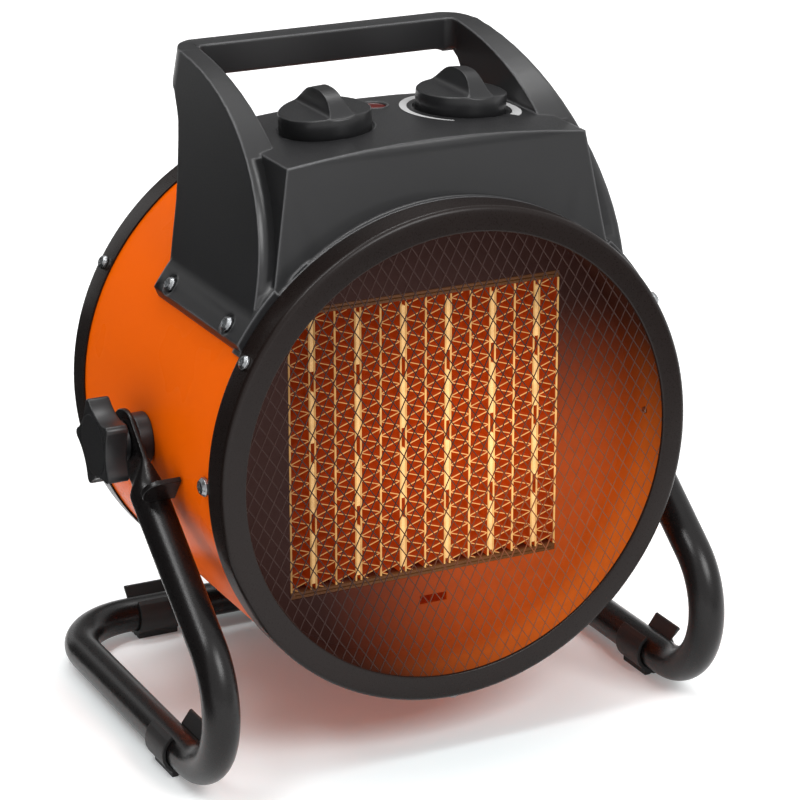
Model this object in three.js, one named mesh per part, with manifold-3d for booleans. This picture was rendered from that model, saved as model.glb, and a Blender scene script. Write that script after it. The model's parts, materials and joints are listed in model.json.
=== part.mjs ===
// Round fan heater that hangs between the arms of a bent-tube stand.
// Millimetres, +Z up. The front net faces -Y, the stand rests on the plane z = 0.
// The heater's pieces are drawn from the drum's axis and lifted to its height at the end.
import * as THREE from "three";
import { ConvexGeometry } from "three/addons/geometries/ConvexGeometry.js";
import { mergeVertices } from "three/addons/utils/BufferGeometryUtils.js";
import Module from "manifold-3d";

const wasm = await Module();
wasm.setup();

// Driving dimensions
const gap = 0.3; // clearance between pieces that touch
const pivotHeight = 147.3; // drum axis above the floor
const depthShift = -0.45; // moves the middle of the whole depth to y = 0
const drumRadius = 120;
const drumHalfLength = 92.2;
const shellRadius = 118.9;
const shellThickness = 1.2;
const ringFlangeLength = 15.3;
const ringSheet = 0.8;
const ringOpeningRadius = 107.8;
const roundSegments = 48;

const tubeRadius = 8.7;
const tubeSides = 14;
const frameHalfWidth = 127.7; // tube axis from the middle plane
const uprightAngle = 37.6; // degrees below the horizontal, towards the front
const frontBendRadius = 37.05;
const frontBendCentre = { y: -67.7, z: -98.5 };
const railHeight = frontBendCentre.z - frontBendRadius;
const rearCornerRadius = 36.2;
const crossTubeDepth = 101.2;

const eyeHalfWidth = 13.7;
const eyeShift = 1.5; // the eye's round end lies past the pivot
const eyeFootHalfWidth = 12.4;
const eyeInner = 126.2;
const eyeOuter = 129.2;
const studRadius = 4;
const spacerRadius = 12.3;
const spacerOuter = 125.9;

const clampHubRadius = 9.5;
const clampHubStart = 129.5;
const clampBodyStart = 134.3;
const clampBodyEnd = 145.2;
const clampLobes = 5;
const clampRadius = 21.8; // over the lobes' tips
const clampWaist = 15.7; // at the middle of a side
const clampTip = 2.6; // rounding of a lobe's tip

const elementFront = -56;
const elementDepth = 15;
const elementHalfWidth = 70.3;
const elementHalfHeight = 70.8;
const railThickness = 3;
const barPitch = 23.4;
const barWidth = 3.4;
const barCount = 6;
const barSheet = 0.7;
const stoneInset = 0.3; // how far a stone's sides sit inside the bar's outer faces
const stoneLength = 25;
const stonePitch = 35;
const stonesPerBar = 4;
const finPeriod = 13.4; // every second fold of the real sheet
const finRows = 10;
const finSheet = 0.5;
const dividerSheet = 0.7;

const netFront = -90.9;
const netThickness = 1;
const netRimRadius = 117;
const netWire = 1.3;
const netScale = 3.4; // the wire pitch here over the real pitch
const netStepA = new THREE.Vector2(-2.639, -5.703).multiplyScalar(netScale);
const netStepB = new THREE.Vector2(3.625, -5.14).multiplyScalar(netScale);
const netOrigin = new THREE.Vector2(-95.2, 43.17);

const deckCrown = 146.2;
const deckDrop = 4.9; // fall of the deck from its middle to its side edge
const boxHalfWidth = 75.5; // at the deck's side edge
const boxEdgeHeight = 140;
const lean = 0.18; // sideways slope of the box sides and the cheeks
const boxFrontTop = -69;
const boxFrontBottom = -74;
const boxRear = 14;
const wall = 3;
const cheekOuter = 87.5; // at z = cheekReference
const cheekReference = 120;
const cheekInner = 68;
const cheekCentre = { y: 56.4, z: 86.4 };
const cheekAxes = { y: 128, z: 85.1 };
const cheekFall = 2; // the cheek's top falls this much towards its inner side
const cheekTopOuter = 82;
const handleTop = cheekCentre.z + cheekAxes.z;
const handleFront = 49.5;
const handleRear = 63;
const handleUnderside = 156.2;
const handleCornerRadius = 19;
const gripFillet = 11;
const innerFillet = 5; // in plan, between a cheek and the handle
const planFoot = 50;
const planHead = 180;
const housingBore = shellRadius + gap;
const padRadius = 123.6;
const padStart = 30.2; // degrees above the horizontal
const padEnd = 46;
const padFront = -76.6;
const lipRadius = 120.1; // lip between the box and the front ring
const padRear = 20;
const padScrewAngle = 34.7;
const padScrewDepths = [-59, 7];

const knobCentres = { left: { x: -35.5, y: -23.5 }, right: { x: 37, y: -18 } };
const knobRadius = 21.5;
const knobRim = 8.2; // above the deck
const knobHeight = 18.8;
const knobGripHalfWidth = 3.6;
const knobFlare = 7.5; // half width of the ridge at its foot
const recessRadius = 22.8;
const recessDepth = 1.5;
const shaftRadius = 3;
const lampY = -1;
const lampRadius = 6;
const lampRecess = 1.2;
const glandHeight = 131;

const ringScrewAngles = [30, 150, 270];
const ringScrewDepths = { front: -84.5, rear: 84.5 };
const ductScrewDepth = -72.3;
const slit = { y: -46.6, z: -15.9, length: 4.5, width: 1.2, turn: 50 };

const fanDepth = 30;
const fanRadius = 92;
const fanBlades = 5;
const motorRadius = 30;

// Materials
function paint(color, roughness, metalness) {
  return new THREE.MeshStandardMaterial({ color, roughness, metalness });
}
const finish = {
  orange: () => paint("#e45c12", 0.35, 0.1),
  blackPaint: () => paint("#2b2928", 0.4, 0.2),
  blackPlastic: () => paint("#2c2c2d", 0.45, 0),
  rubber: () => paint("#1d1c1c", 0.8, 0),
  steel: () => paint("#8d8f91", 0.35, 0.9),
  aluminium: () => paint("#c4b6a0", 0.4, 0.9),
  stone: () => paint("#b9a184", 0.6, 0.3),
  darkSheet: () => paint("#33201c", 0.6, 0.4),
  lamp: () => paint("#d8361c", 0.2, 0),
};

// Solids and meshes
function facingOut(positions, triangles) {
  let volume = 0;
  const corner = (i) => new THREE.Vector3().fromArray(positions, 3 * triangles[i]);
  for (let i = 0; i < triangles.length; i += 3) {
    volume += corner(i).dot(corner(i + 1).cross(corner(i + 2)));
  }
  if (volume > 0) return triangles;
  const turned = new Uint32Array(triangles);
  for (let i = 0; i < turned.length; i += 3) {
    [turned[i + 1], turned[i + 2]] = [turned[i + 2], turned[i + 1]];
  }
  return turned;
}

function solid(geometry) {
  const bare = geometry.index ? geometry.toNonIndexed() : geometry.clone();
  bare.deleteAttribute("normal");
  bare.deleteAttribute("uv");
  const merged = mergeVertices(bare, 1e-3);
  const vertProperties = new Float32Array(merged.attributes.position.array);
  const triVerts = facingOut(vertProperties, new Uint32Array(merged.index.array));
  return new wasm.Manifold(new wasm.Mesh({ numProp: 3, vertProperties, triVerts }));
}

function geometryOf(body) {
  const mesh = body.getMesh();
  const geometry = new THREE.BufferGeometry();
  const positions = new Float32Array(mesh.numVert * 3);
  for (let i = 0; i < mesh.numVert; i++) {
    positions.set(mesh.vertProperties.subarray(i * mesh.numProp, i * mesh.numProp + 3), i * 3);
  }
  geometry.setAttribute("position", new THREE.BufferAttribute(positions, 3));
  geometry.setIndex(new THREE.BufferAttribute(new Uint32Array(mesh.triVerts), 1));
  geometry.computeVertexNormals();
  return geometry;
}

function meshOf(name, body, material) {
  const mesh = new THREE.Mesh(geometryOf(body), material);
  mesh.name = name;
  return mesh;
}

function joined(bodies) {
  return bodies.reduce((whole, next) => whole.add(next));
}

function without(body, cutters) {
  return cutters.reduce((rest, cutter) => rest.subtract(cutter), body);
}

// Placing: a drawing in (u, v) is pushed along one of the axes.
function alongX(shape, from, to, curveSegments = 12) {
  const depth = to - from;
  const geometry = new THREE.ExtrudeGeometry(shape, { depth, bevelEnabled: false, curveSegments });
  const basis = new THREE.Matrix4().makeBasis(
    new THREE.Vector3(0, 1, 0),
    new THREE.Vector3(0, 0, 1),
    new THREE.Vector3(1, 0, 0),
  );
  return solid(geometry.applyMatrix4(basis).translate(from, 0, 0));
}

function alongY(shape, from, to, curveSegments = 12) {
  const depth = to - from;
  const geometry = new THREE.ExtrudeGeometry(shape, { depth, bevelEnabled: false, curveSegments });
  return solid(geometry.rotateX(Math.PI / 2).translate(0, to, 0));
}

function alongZ(shape, from, to, curveSegments = 12) {
  const depth = to - from;
  const geometry = new THREE.ExtrudeGeometry(shape, { depth, bevelEnabled: false, curveSegments });
  return solid(geometry.translate(0, 0, from));
}

function box(x0, x1, y0, y1, z0, z1) {
  const geometry = new THREE.BoxGeometry(x1 - x0, y1 - y0, z1 - z0);
  return solid(geometry.translate((x0 + x1) / 2, (y0 + y1) / 2, (z0 + z1) / 2));
}

function arcPoints(radius, from, to, steps) {
  const points = [];
  for (let i = 0; i <= steps; i++) {
    const angle = from + ((to - from) * i) / steps;
    points.push(new THREE.Vector2(radius * Math.cos(angle), radius * Math.sin(angle)));
  }
  return points;
}

function circle(radius, sides = 12) {
  return new THREE.Shape(arcPoints(radius, 0, 2 * Math.PI, sides).slice(1));
}

function shapeOf(points) {
  return new THREE.Shape(points.map(([u, v]) => new THREE.Vector2(u, v)));
}

// A closed ring profile of [radius, depth] turned about the drum's axis.
function turned(profile, segments = roundSegments) {
  const points = [...profile, profile[0]].map(([r, y]) => new THREE.Vector2(r, y));
  return solid(new THREE.LatheGeometry(points, segments));
}

// A rod along a direction, from one distance from the origin to another.
function rod(direction, radius, from, to, segments = 16) {
  const geometry = new THREE.CylinderGeometry(radius, radius, to - from, segments);
  const turn = new THREE.Quaternion().setFromUnitVectors(
    new THREE.Vector3(0, 1, 0),
    direction.clone().normalize(),
  );
  const middle = direction.clone().normalize().multiplyScalar((from + to) / 2);
  return solid(geometry.applyQuaternion(turn).translate(middle.x, middle.y, middle.z));
}

function degrees(angle) {
  return (angle * Math.PI) / 180;
}

function radial(angle) {
  return new THREE.Vector3(Math.cos(degrees(angle)), 0, Math.sin(degrees(angle)));
}

function radialRod(angle, depth, radius, from, to, segments) {
  return rod(radial(angle), radius, from, to, segments).translate([0, depth, 0]);
}

// Stand
const uprightDirection = new THREE.Vector3(
  0,
  -Math.cos(degrees(uprightAngle)),
  -Math.sin(degrees(uprightAngle)),
);

// A path of straight runs and arcs, with a chosen number of steps on each.
class BentPath extends THREE.Curve {
  constructor(runs) {
    super();
    this.stations = runs.flatMap(({ curve, steps }, i) => {
      const points = curve.getPoints(steps);
      return i === 0 ? points : points.slice(1);
    });
    this.steps = this.stations.length - 1;
  }
  getPoint(t) {
    const place = Math.min(t, 1) * this.steps;
    const i = Math.min(Math.floor(place), this.steps - 1);
    return this.stations[i].clone().lerp(this.stations[i + 1], place - i);
  }
  getUtoTmapping(u) {
    return u;
  }
}

class Arc extends THREE.Curve {
  constructor(centre, radius, start, stop, across, up) {
    super();
    Object.assign(this, { centre, radius, start, stop, across, up });
  }
  getPoint(t) {
    const angle = this.start + (this.stop - this.start) * t;
    return this.centre
      .clone()
      .addScaledVector(this.across, this.radius * Math.cos(angle))
      .addScaledVector(this.up, this.radius * Math.sin(angle));
  }
}

const eyeTaperStart = 16;
const eyeTaperEnd = 31;

function halfRuns(side) {
  const x = side * frameHalfWidth;
  const centre = new THREE.Vector3(x, frontBendCentre.y, frontBendCentre.z);
  const normalAngle = degrees(90 + uprightAngle);
  const bend = new Arc(
    centre,
    frontBendRadius,
    normalAngle,
    degrees(270),
    new THREE.Vector3(0, 1, 0),
    new THREE.Vector3(0, 0, 1),
  );
  const corner = new Arc(
    new THREE.Vector3(x - side * rearCornerRadius, crossTubeDepth - rearCornerRadius, railHeight),
    rearCornerRadius,
    0,
    Math.PI / 2,
    new THREE.Vector3(side, 0, 0),
    new THREE.Vector3(0, 1, 0),
  );
  const top = new THREE.Vector3(x, 0, 0).addScaledVector(uprightDirection, eyeTaperEnd - 1);
  const upright = new THREE.LineCurve3(top, bend.getPoint(0));
  const rail = new THREE.LineCurve3(bend.getPoint(1), corner.getPoint(0));
  return [
    { curve: upright, steps: 1 },
    { curve: bend, steps: 12 },
    { curve: rail, steps: 1 },
    { curve: corner, steps: 7 },
  ];
}

function tubeBody() {
  const left = new BentPath(halfRuns(-1)).stations;
  const right = new BentPath(halfRuns(1)).stations;
  const path = new BentPath([]);
  path.stations = [...left, ...right.reverse()];
  path.steps = path.stations.length - 1;
  const sweep = { steps: path.steps, extrudePath: path };
  return solid(new THREE.ExtrudeGeometry(circle(tubeRadius, tubeSides), sweep));
}

// The tube's end is pressed flat round the pivot hole.
function flattenedEye(side) {
  const outline = new THREE.Shape();
  outline.absarc(eyeShift, 0, eyeHalfWidth, -Math.PI / 2, Math.PI / 2);
  outline.lineTo(-eyeTaperStart - 0.5, eyeFootHalfWidth);
  outline.lineTo(-eyeTaperStart - 0.5, -eyeFootHalfWidth);
  const plate = alongX(outline, eyeInner, eyeOuter, 6);
  const points = [];
  for (const width of [-eyeFootHalfWidth, eyeFootHalfWidth]) {
    for (const x of [eyeInner, eyeOuter]) {
      points.push(new THREE.Vector3(x, -eyeTaperStart, width));
    }
  }
  for (let i = 0; i < tubeSides; i++) {
    const angle = (2 * Math.PI * i) / tubeSides;
    const x = frameHalfWidth + tubeRadius * Math.cos(angle);
    points.push(new THREE.Vector3(x, -eyeTaperEnd, tubeRadius * Math.sin(angle)));
  }
  const taper = solid(new ConvexGeometry(points));
  const bore = alongX(circle(studRadius + gap), 120, 135);
  const eye = plate.add(taper).subtract(bore).rotate([uprightAngle, 0, 0]);
  return side > 0 ? eye : eye.mirror([1, 0, 0]);
}

function standTube() {
  return meshOf(
    "stand_tube",
    joined([tubeBody(), flattenedEye(1), flattenedEye(-1)]),
    finish.blackPaint(),
  );
}

// Spring clip: an open ring with a flared lip, and a ribbed pad that stands on the floor.
const clipInner = tubeRadius + gap;
const clipOuter = 10.9;
const clipLength = 21.5;
const clipStart = 122;
const clipEnd = 389;
const padHalfWidth = 6;
const floorBelowRail = -pivotHeight - railHeight;

function clipOutline() {
  const outline = new THREE.Shape();
  outline.absarc(0, 0, clipOuter, degrees(clipStart), degrees(clipEnd), false);
  outline.lineTo(13.9, 9.5);
  outline.lineTo(13.4, 10.6);
  outline.lineTo(12.3, 10.5);
  outline.absarc(0, 0, clipInner, degrees(clipEnd), degrees(clipStart), true);
  return outline;
}

function clipPad() {
  const top = -8.2;
  const grooveTop = floorBelowRail + 0.5;
  const points = [[-padHalfWidth, top], [-padHalfWidth, floorBelowRail]];
  for (const middle of [-2.1, 2.1]) {
    points.push([middle - 0.9, floorBelowRail], [middle - 0.6, grooveTop]);
    points.push([middle + 0.6, grooveTop], [middle + 0.9, floorBelowRail]);
  }
  points.push([padHalfWidth, floorBelowRail], [padHalfWidth, top]);
  return shapeOf(points);
}

function footClip(name, x, y, turn) {
  const ring = alongY(clipOutline(), -clipLength / 2, clipLength / 2, 9);
  const bore = alongY(circle(clipInner - 0.1, 24), -clipLength, clipLength);
  const pad = alongY(clipPad(), -clipLength / 2, clipLength / 2).subtract(bore);
  const mesh = meshOf(name, ring.add(pad), finish.rubber());
  mesh.position.set(x, y, railHeight);
  mesh.rotation.z = turn;
  return mesh;
}

function footClips() {
  const railY = -48.5;
  const crossX = 77;
  return [
    footClip("foot_clip_front_left", -frameHalfWidth, railY, 0),
    footClip("foot_clip_front_right", frameHalfWidth, railY, 0),
    footClip("foot_clip_rear_left", -crossX, crossTubeDepth, Math.PI / 2),
    footClip("foot_clip_rear_right", crossX, crossTubeDepth, Math.PI / 2),
  ];
}

// Stop tab: a round-ended plate square to the upright, on its front and close to the drum.
const tabDistance = 38.7;
const tabThickness = 2.6;
const tabOuter = 137.3;
const tabInner = 119.6;
const tabFoot = 8.2; // heights over the upright's axis
const tabTop = 22.8;

function stopTab(name, side) {
  const endRadius = (tabTop - tabFoot) / 2;
  const endX = tabOuter - endRadius;
  const face = new THREE.Shape();
  face.moveTo(tabInner, tabFoot);
  face.lineTo(endX, tabFoot);
  face.absarc(endX, tabFoot + endRadius, endRadius, -Math.PI / 2, Math.PI / 2, false);
  face.lineTo(tabInner, tabTop);
  const plate = alongY(face, -tabDistance - tabThickness / 2, -tabDistance + tabThickness / 2, 8);
  const tube = alongY(circle(tubeRadius + gap, 20), -60, -20).translate([frameHalfWidth, 0, 0]);
  const placed = plate.subtract(tube).rotate([uprightAngle, 0, 0]);
  return meshOf(name, side > 0 ? placed : placed.mirror([1, 0, 0]), finish.blackPaint());
}

// Pivot
function spacer(name, side) {
  const disc = rod(new THREE.Vector3(1, 0, 0), spacerRadius, 110, spacerOuter, 24);
  const bore = rod(new THREE.Vector3(1, 0, 0), studRadius + gap, 100, 130, 12);
  const wallCut = turned([[1, -40], [shellRadius + gap, -40], [shellRadius + gap, 40], [1, 40]], 96);
  const body = without(disc, [bore, wallCut]);
  return meshOf(name, side > 0 ? body : body.mirror([1, 0, 0]), finish.blackPlastic());
}

function pivotStud(name, side) {
  const along = new THREE.Vector3(1, 0, 0);
  const head = rod(along, 8, 112.5, 116.4, 6);
  const body = head.add(rod(along, studRadius, 115, 142, 12));
  return meshOf(name, side > 0 ? body : body.mirror([1, 0, 0]), finish.steel());
}

// Outline of the clamp knob: rounded tips joined by hollow sides, each an arc that meets them.
function clampOutline() {
  const reach = clampRadius - clampTip;
  const half = Math.PI / clampLobes;
  const across = 2 * reach * Math.cos(half);
  const sideRadius =
    (reach ** 2 + clampWaist ** 2 - across * clampWaist - clampTip ** 2) /
    (across + 2 * clampTip - 2 * clampWaist);
  const sideCentre = clampWaist + sideRadius;
  const opening = Math.asin((reach * Math.sin(half)) / (sideRadius + clampTip));
  const tipTurn = half + opening;
  const points = [];
  for (let lobe = 0; lobe < clampLobes; lobe++) {
    const along = 2 * half * lobe;
    for (const step of [-1, -0.4, 0.4, 1]) {
      const angle = along + step * tipTurn;
      points.push([
        reach * Math.cos(along) + clampTip * Math.cos(angle),
        reach * Math.sin(along) + clampTip * Math.sin(angle),
      ]);
    }
    for (const step of [0.5, 0, -0.5]) {
      const angle = along + half + Math.PI + step * opening;
      points.push([
        sideCentre * Math.cos(along + half) + sideRadius * Math.cos(angle),
        sideCentre * Math.sin(along + half) + sideRadius * Math.sin(angle),
      ]);
    }
  }
  return points;
}

function clampKnob(name, side) {
  const points = clampOutline();
  const edge = 0.8;
  const geometry = new THREE.ExtrudeGeometry(shapeOf(points), {
    depth: clampBodyEnd - clampBodyStart - 2 * edge,
    bevelThickness: edge,
    bevelSize: edge,
    bevelOffset: -edge,
    bevelSegments: 1,
  });
  const lobes = solid(
    geometry.rotateX(Math.PI / 2).rotateZ(Math.PI / 2).translate(clampBodyStart + edge, 0, 0),
  );
  const along = new THREE.Vector3(1, 0, 0);
  const hub = rod(along, clampHubRadius, clampHubStart, clampBodyStart + 1, 20);
  const bore = rod(along, studRadius + gap, 120, 142.5, 12);
  const body = lobes.add(hub).subtract(bore);
  return meshOf(name, side > 0 ? body : body.mirror([1, 0, 0]), finish.blackPlastic());
}

// Drum
function shellHoles() {
  const holes = [radialRod(0, 0, studRadius + gap, 110, 125, 12)];
  holes.push(radialRod(180, 0, studRadius + gap, 110, 125, 12));
  for (const angle of [0, 180]) {
    holes.push(radialRod(angle, ductScrewDepth, 2.2, 110, 125, 6));
  }
  const halfLength = slit.length / 2;
  const halfWidth = slit.width / 2;
  const rightSlit = box(110, 125, -halfLength, halfLength, -halfWidth, halfWidth)
    .rotate([slit.turn, 0, 0])
    .translate([0, slit.y, slit.z]);
  holes.push(rightSlit, rightSlit.mirror([1, 0, 0]));
  for (const angle of ringScrewAngles) {
    holes.push(radialRod(angle, ringScrewDepths.front, 2.2, 110, 125, 6));
    holes.push(radialRod(angle, ringScrewDepths.rear, 2.2, 110, 125, 6));
  }
  for (const angle of [padScrewAngle, 180 - padScrewAngle]) {
    for (const depth of padScrewDepths) {
      holes.push(radialRod(angle, depth, 2.2, 110, 125, 6));
    }
  }
  holes.push(wireHole());
  return holes;
}

function drumShell() {
  const inner = shellRadius - shellThickness;
  const half = drumHalfLength - 3.2;
  const tube = turned([[shellRadius, -half], [shellRadius, half], [inner, half], [inner, -half]]);
  return meshOf("drum_shell", without(tube, shellHoles()), finish.orange());
}

// Pressed end ring: a flange over the shell and a flat face with a rounded outer edge.
function endRing(name, facing) {
  const face = drumHalfLength;
  const edge = 2.6;
  const arc = (r, from, to, steps) => {
    const points = [];
    for (let i = 0; i <= steps; i++) {
      const angle = degrees(from + ((to - from) * i) / steps);
      points.push([drumRadius - edge + r * Math.cos(angle), face - edge + r * Math.sin(angle)]);
    }
    return points;
  };
  const profile = [
    [drumRadius, face - ringFlangeLength],
    ...arc(edge, 0, 90, 3),
    [ringOpeningRadius + 0.6, face],
    [ringOpeningRadius, face - 0.6],
    [ringOpeningRadius, face - ringSheet],
    ...arc(edge - ringSheet, 90, 0, 1),
    [drumRadius - ringSheet, face - ringFlangeLength],
  ];
  const ring = turned(profile.map(([r, y]) => [r, facing * y]));
  const depth = facing < 0 ? ringScrewDepths.front : ringScrewDepths.rear;
  const holes = ringScrewAngles.map((angle) => radialRod(angle, depth, 2.2, 110, 125, 6));
  return meshOf(name, without(ring, holes), finish.blackPaint());
}

// Diamond net: a rimmed disc with the diamonds between crossing wires cut out.
function diamond(i, j) {
  const corner = (a, b) =>
    netOrigin.clone().addScaledVector(netStepA, i + a).addScaledVector(netStepB, j + b);
  const insetA = netWire / 2 / distanceBetween(netStepA, netStepB);
  const insetB = netWire / 2 / distanceBetween(netStepB, netStepA);
  return [
    corner(insetA, insetB),
    corner(1 - insetA, insetB),
    corner(1 - insetA, 1 - insetB),
    corner(insetA, 1 - insetB),
  ];
}

// The spacing of the wires that one step crosses.
function distanceBetween(step, along) {
  return Math.abs(step.cross(along)) / along.length();
}

// Diamonds cut through a wide sheet, trimmed to a disc and joined to its rim.
function frontNet() {
  const back = netFront + netThickness;
  const sheet = circle(netRimRadius + 12, 48);
  const reach = ringOpeningRadius + 4;
  const span = 28;
  for (let i = -span; i < span; i++) {
    for (let j = -span; j < span; j++) {
      const corners = diamond(i, j);
      const inside = corners.every((p) => p.length() < netRimRadius + 11);
      if (inside && corners.some((p) => p.length() < reach)) {
        sheet.holes.push(new THREE.Path(corners));
      }
    }
  }
  const disc = alongY(circle(netRimRadius, 48), netFront, back);
  const opening = alongY(circle(ringOpeningRadius + 1, 48), netFront - 1, back + 1);
  const wires = alongY(sheet, netFront, back).intersect(disc);
  return meshOf("front_net", disc.subtract(opening).add(wires), finish.blackPaint());
}

function rearGrille() {
  const front = -netFront - netThickness;
  const back = -netFront;
  const disc = circle(netRimRadius, 40);
  const slots = 8;
  const slotAngle = degrees(360 / slots);
  const cutters = [];
  for (const [inner, outer] of [[28, 64], [70, 106]]) {
    for (let i = 0; i < slots; i++) {
      const start = slotAngle * (i + 0.14);
      const end = slotAngle * (i + 0.86);
      const slot = [...arcPoints(outer, start, end, 2), ...arcPoints(inner, end, start, 2)];
      cutters.push(alongY(new THREE.Shape(slot), front - 1, back + 1));
    }
  }
  const body = without(alongY(disc, front, back), cutters);
  return meshOf("rear_grille", body, finish.blackPaint());
}

const ductRadius = 110.4;

function innerDuct() {
  const outer = ductRadius;
  const front = netFront + netThickness + gap;
  const profile = [[outer, front], [outer, -34], [outer - 1, -34], [outer - 1, front]];
  const tube = turned(profile, 48);
  const holes = [0, 180].map((angle) => radialRod(angle, ductScrewDepth, 2.2, 100, 120, 6));
  return meshOf("inner_duct", without(tube, holes), finish.darkSheet());
}

// Plate that closes the drum round the heating element.
function bafflePlate() {
  const disc = circle(ductRadius - 1 - gap, 48);
  const w = elementHalfWidth + gap;
  const h = elementHalfHeight + gap;
  const window = [[-w, -h], [-w, h], [w, h], [w, -h]].map(([u, v]) => new THREE.Vector2(u, v));
  disc.holes.push(new THREE.Path(window));
  const plate = alongY(disc, elementFront, elementFront + 1.2);
  const slot = box(-3, 11.8, elementFront - 5, elementFront + 5, -86.5, -81.8);
  return meshOf("baffle_plate", plate.subtract(slot), finish.darkSheet());
}

// Heating element
function barX(i) {
  return (i - (barCount - 1) / 2) * barPitch;
}

const coreHalfHeight = elementHalfHeight - railThickness - gap;

// Heating bar: two thin side sheets with ceramic stones held between them.
function heatingBar(i) {
  const x = barX(i);
  const half = barWidth / 2;
  const back = elementFront + elementDepth;
  const pieces = [];
  for (const left of [x - half, x + half - barSheet]) {
    const right = left + barSheet;
    pieces.push(box(left, right, elementFront, back, -coreHalfHeight, coreHalfHeight));
  }
  const stoneLeft = x - half + stoneInset;
  const stoneRight = x + half - stoneInset;
  for (let k = 0; k < stonesPerBar; k++) {
    const low = (k - (stonesPerBar - 1) / 2) * stonePitch - stoneLength / 2;
    const high = low + stoneLength;
    pieces.push(box(stoneLeft, stoneRight, elementFront + 0.6, back - 0.6, low, high));
  }
  return meshOf(`heating_bar_${i + 1}`, joined(pieces), finish.stone());
}

// One column of folded fin sheet, its folds reaching from x0 to x1.
function foldedFins(x0, x1) {
  const climb = finPeriod / 2;
  const half = ((finSheet / 2) * Math.hypot(x1 - x0, climb)) / climb;
  const folds = [];
  const start = (-finRows * finPeriod) / 2;
  for (let i = 0; i <= 2 * finRows; i++) {
    folds.push([i % 2 ? x1 - half : x0 + half, start + i * climb]);
  }
  const right = folds.map(([x, z]) => [x + half, z]);
  const left = folds.map(([x, z]) => [x - half, z]).reverse();
  return alongY(shapeOf([...right, ...left]), elementFront + 0.4, elementFront + elementDepth);
}

function finSheetAt(x) {
  const half = dividerSheet / 2;
  const back = elementFront + elementDepth;
  return box(x - half, x + half, elementFront, back, -coreHalfHeight, coreHalfHeight);
}

// Fin pack between two heating bars, or beyond the outer one.
function finPack(i) {
  const name = `fin_pack_${i + 1}`;
  const outer = elementHalfWidth - dividerSheet / 2;
  const clear = barWidth / 2 + gap;
  const bite = 0.25;
  if (i === 0) {
    const fins = foldedFins(-outer, barX(0) - clear);
    return meshOf(name, fins.add(finSheetAt(-outer)), finish.aluminium());
  }
  if (i === barCount) {
    const fins = foldedFins(barX(barCount - 1) + clear, outer);
    return meshOf(name, fins.add(finSheetAt(outer)), finish.aluminium());
  }
  const left = barX(i - 1) + clear;
  const right = barX(i) - clear;
  const middle = (left + right) / 2;
  const pieces = [
    foldedFins(left, middle + bite),
    foldedFins(middle - bite, right),
    finSheetAt(middle),
  ];
  return meshOf(name, joined(pieces), finish.aluminium());
}

function elementRail(name, side) {
  const back = elementFront + elementDepth;
  const inner = elementHalfHeight - railThickness;
  const bar = box(-elementHalfWidth, elementHalfWidth, elementFront, back, inner, elementHalfHeight);
  const middle = elementHalfHeight - railThickness / 2;
  const groove = box(
    -elementHalfWidth + 2,
    elementHalfWidth - 2,
    elementFront - 1,
    elementFront + 2,
    middle - 0.3,
    middle + 0.3,
  );
  const body = bar.subtract(groove);
  return meshOf(name, side > 0 ? body : body.mirror([0, 0, 1]), finish.aluminium());
}

// Fan and motor
function motor() {
  const front = fanDepth + 20;
  const back = front + 34;
  const body = turned([
    [0.01, front],
    [motorRadius - 2, front],
    [motorRadius, front + 2],
    [motorRadius, back - 4],
    [motorRadius - 5, back],
    [0.01, back],
  ], 20);
  const shaft = rod(new THREE.Vector3(0, 1, 0), 3, fanDepth - 12, front + 2, 10);
  return meshOf("fan_motor", body.add(shaft), finish.steel());
}

function motorBracket() {
  const depth = fanDepth + 17.6;
  const shellInside = shellRadius - shellThickness - gap;
  let body = alongY(circle(34, 20), depth, depth + 2);
  for (const angle of [90, 210, 330]) {
    const arm = box(20, shellInside - 1, depth, depth + 2, -7, 7);
    const foot = box(shellInside - 3, shellInside - 1, depth, depth + 12, -7, 7);
    body = body.add(arm.add(foot).rotate([0, -angle, 0]));
  }
  const bore = rod(new THREE.Vector3(0, 1, 0), 6, depth - 5, depth + 5, 16);
  return meshOf("motor_bracket", body.subtract(bore), finish.steel());
}

function fan() {
  const half = 9;
  const along = new THREE.Vector3(0, 1, 0);
  const hub = rod(along, 17, fanDepth - half, fanDepth + half, 24);
  const blades = [];
  const chord = 21;
  const bow = 3.5;
  const outline = [];
  const steps = 4;
  for (let i = 0; i <= steps; i++) {
    const u = (2 * i) / steps - 1;
    outline.push([u * chord, bow * (1 - u * u)]);
  }
  const back = outline.map(([u, v]) => [u, v + 1.4]).reverse();
  const blade = alongX(shapeOf([...outline, ...back]), 14, fanRadius).rotate([62, 0, 0]);
  for (let i = 0; i < fanBlades; i++) {
    const angle = (360 * i) / fanBlades;
    blades.push(blade.rotate([0, angle, 0]).translate([0, fanDepth - 2, 0]));
  }
  const band = rod(along, fanRadius + 5, fanDepth - half, fanDepth + half, 24);
  const trimmed = joined(blades).intersect(band);
  const bore = rod(along, 3.3, fanDepth - 30, fanDepth + 30, 12);
  return meshOf("fan", hub.add(trimmed).subtract(bore), finish.blackPlastic());
}

// Control housing
function deckHeight(x) {
  return deckCrown - deckDrop * (x / boxHalfWidth) ** 2;
}

function sideX(base, reference, z) {
  return base + lean * (reference - z);
}

// Cross section of the control box with its crowned deck, pulled in all round by an inset.
function boxSection(inset) {
  const steps = 8;
  const points = [];
  const half = boxHalfWidth - inset;
  const low = 60;
  for (let i = 0; i <= steps; i++) {
    const x = half - (2 * half * i) / steps;
    points.push([x, deckHeight(x) - inset]);
  }
  const foot = sideX(half, boxEdgeHeight, low);
  return shapeOf([[foot, low], ...points, [-foot, low]]);
}

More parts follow.
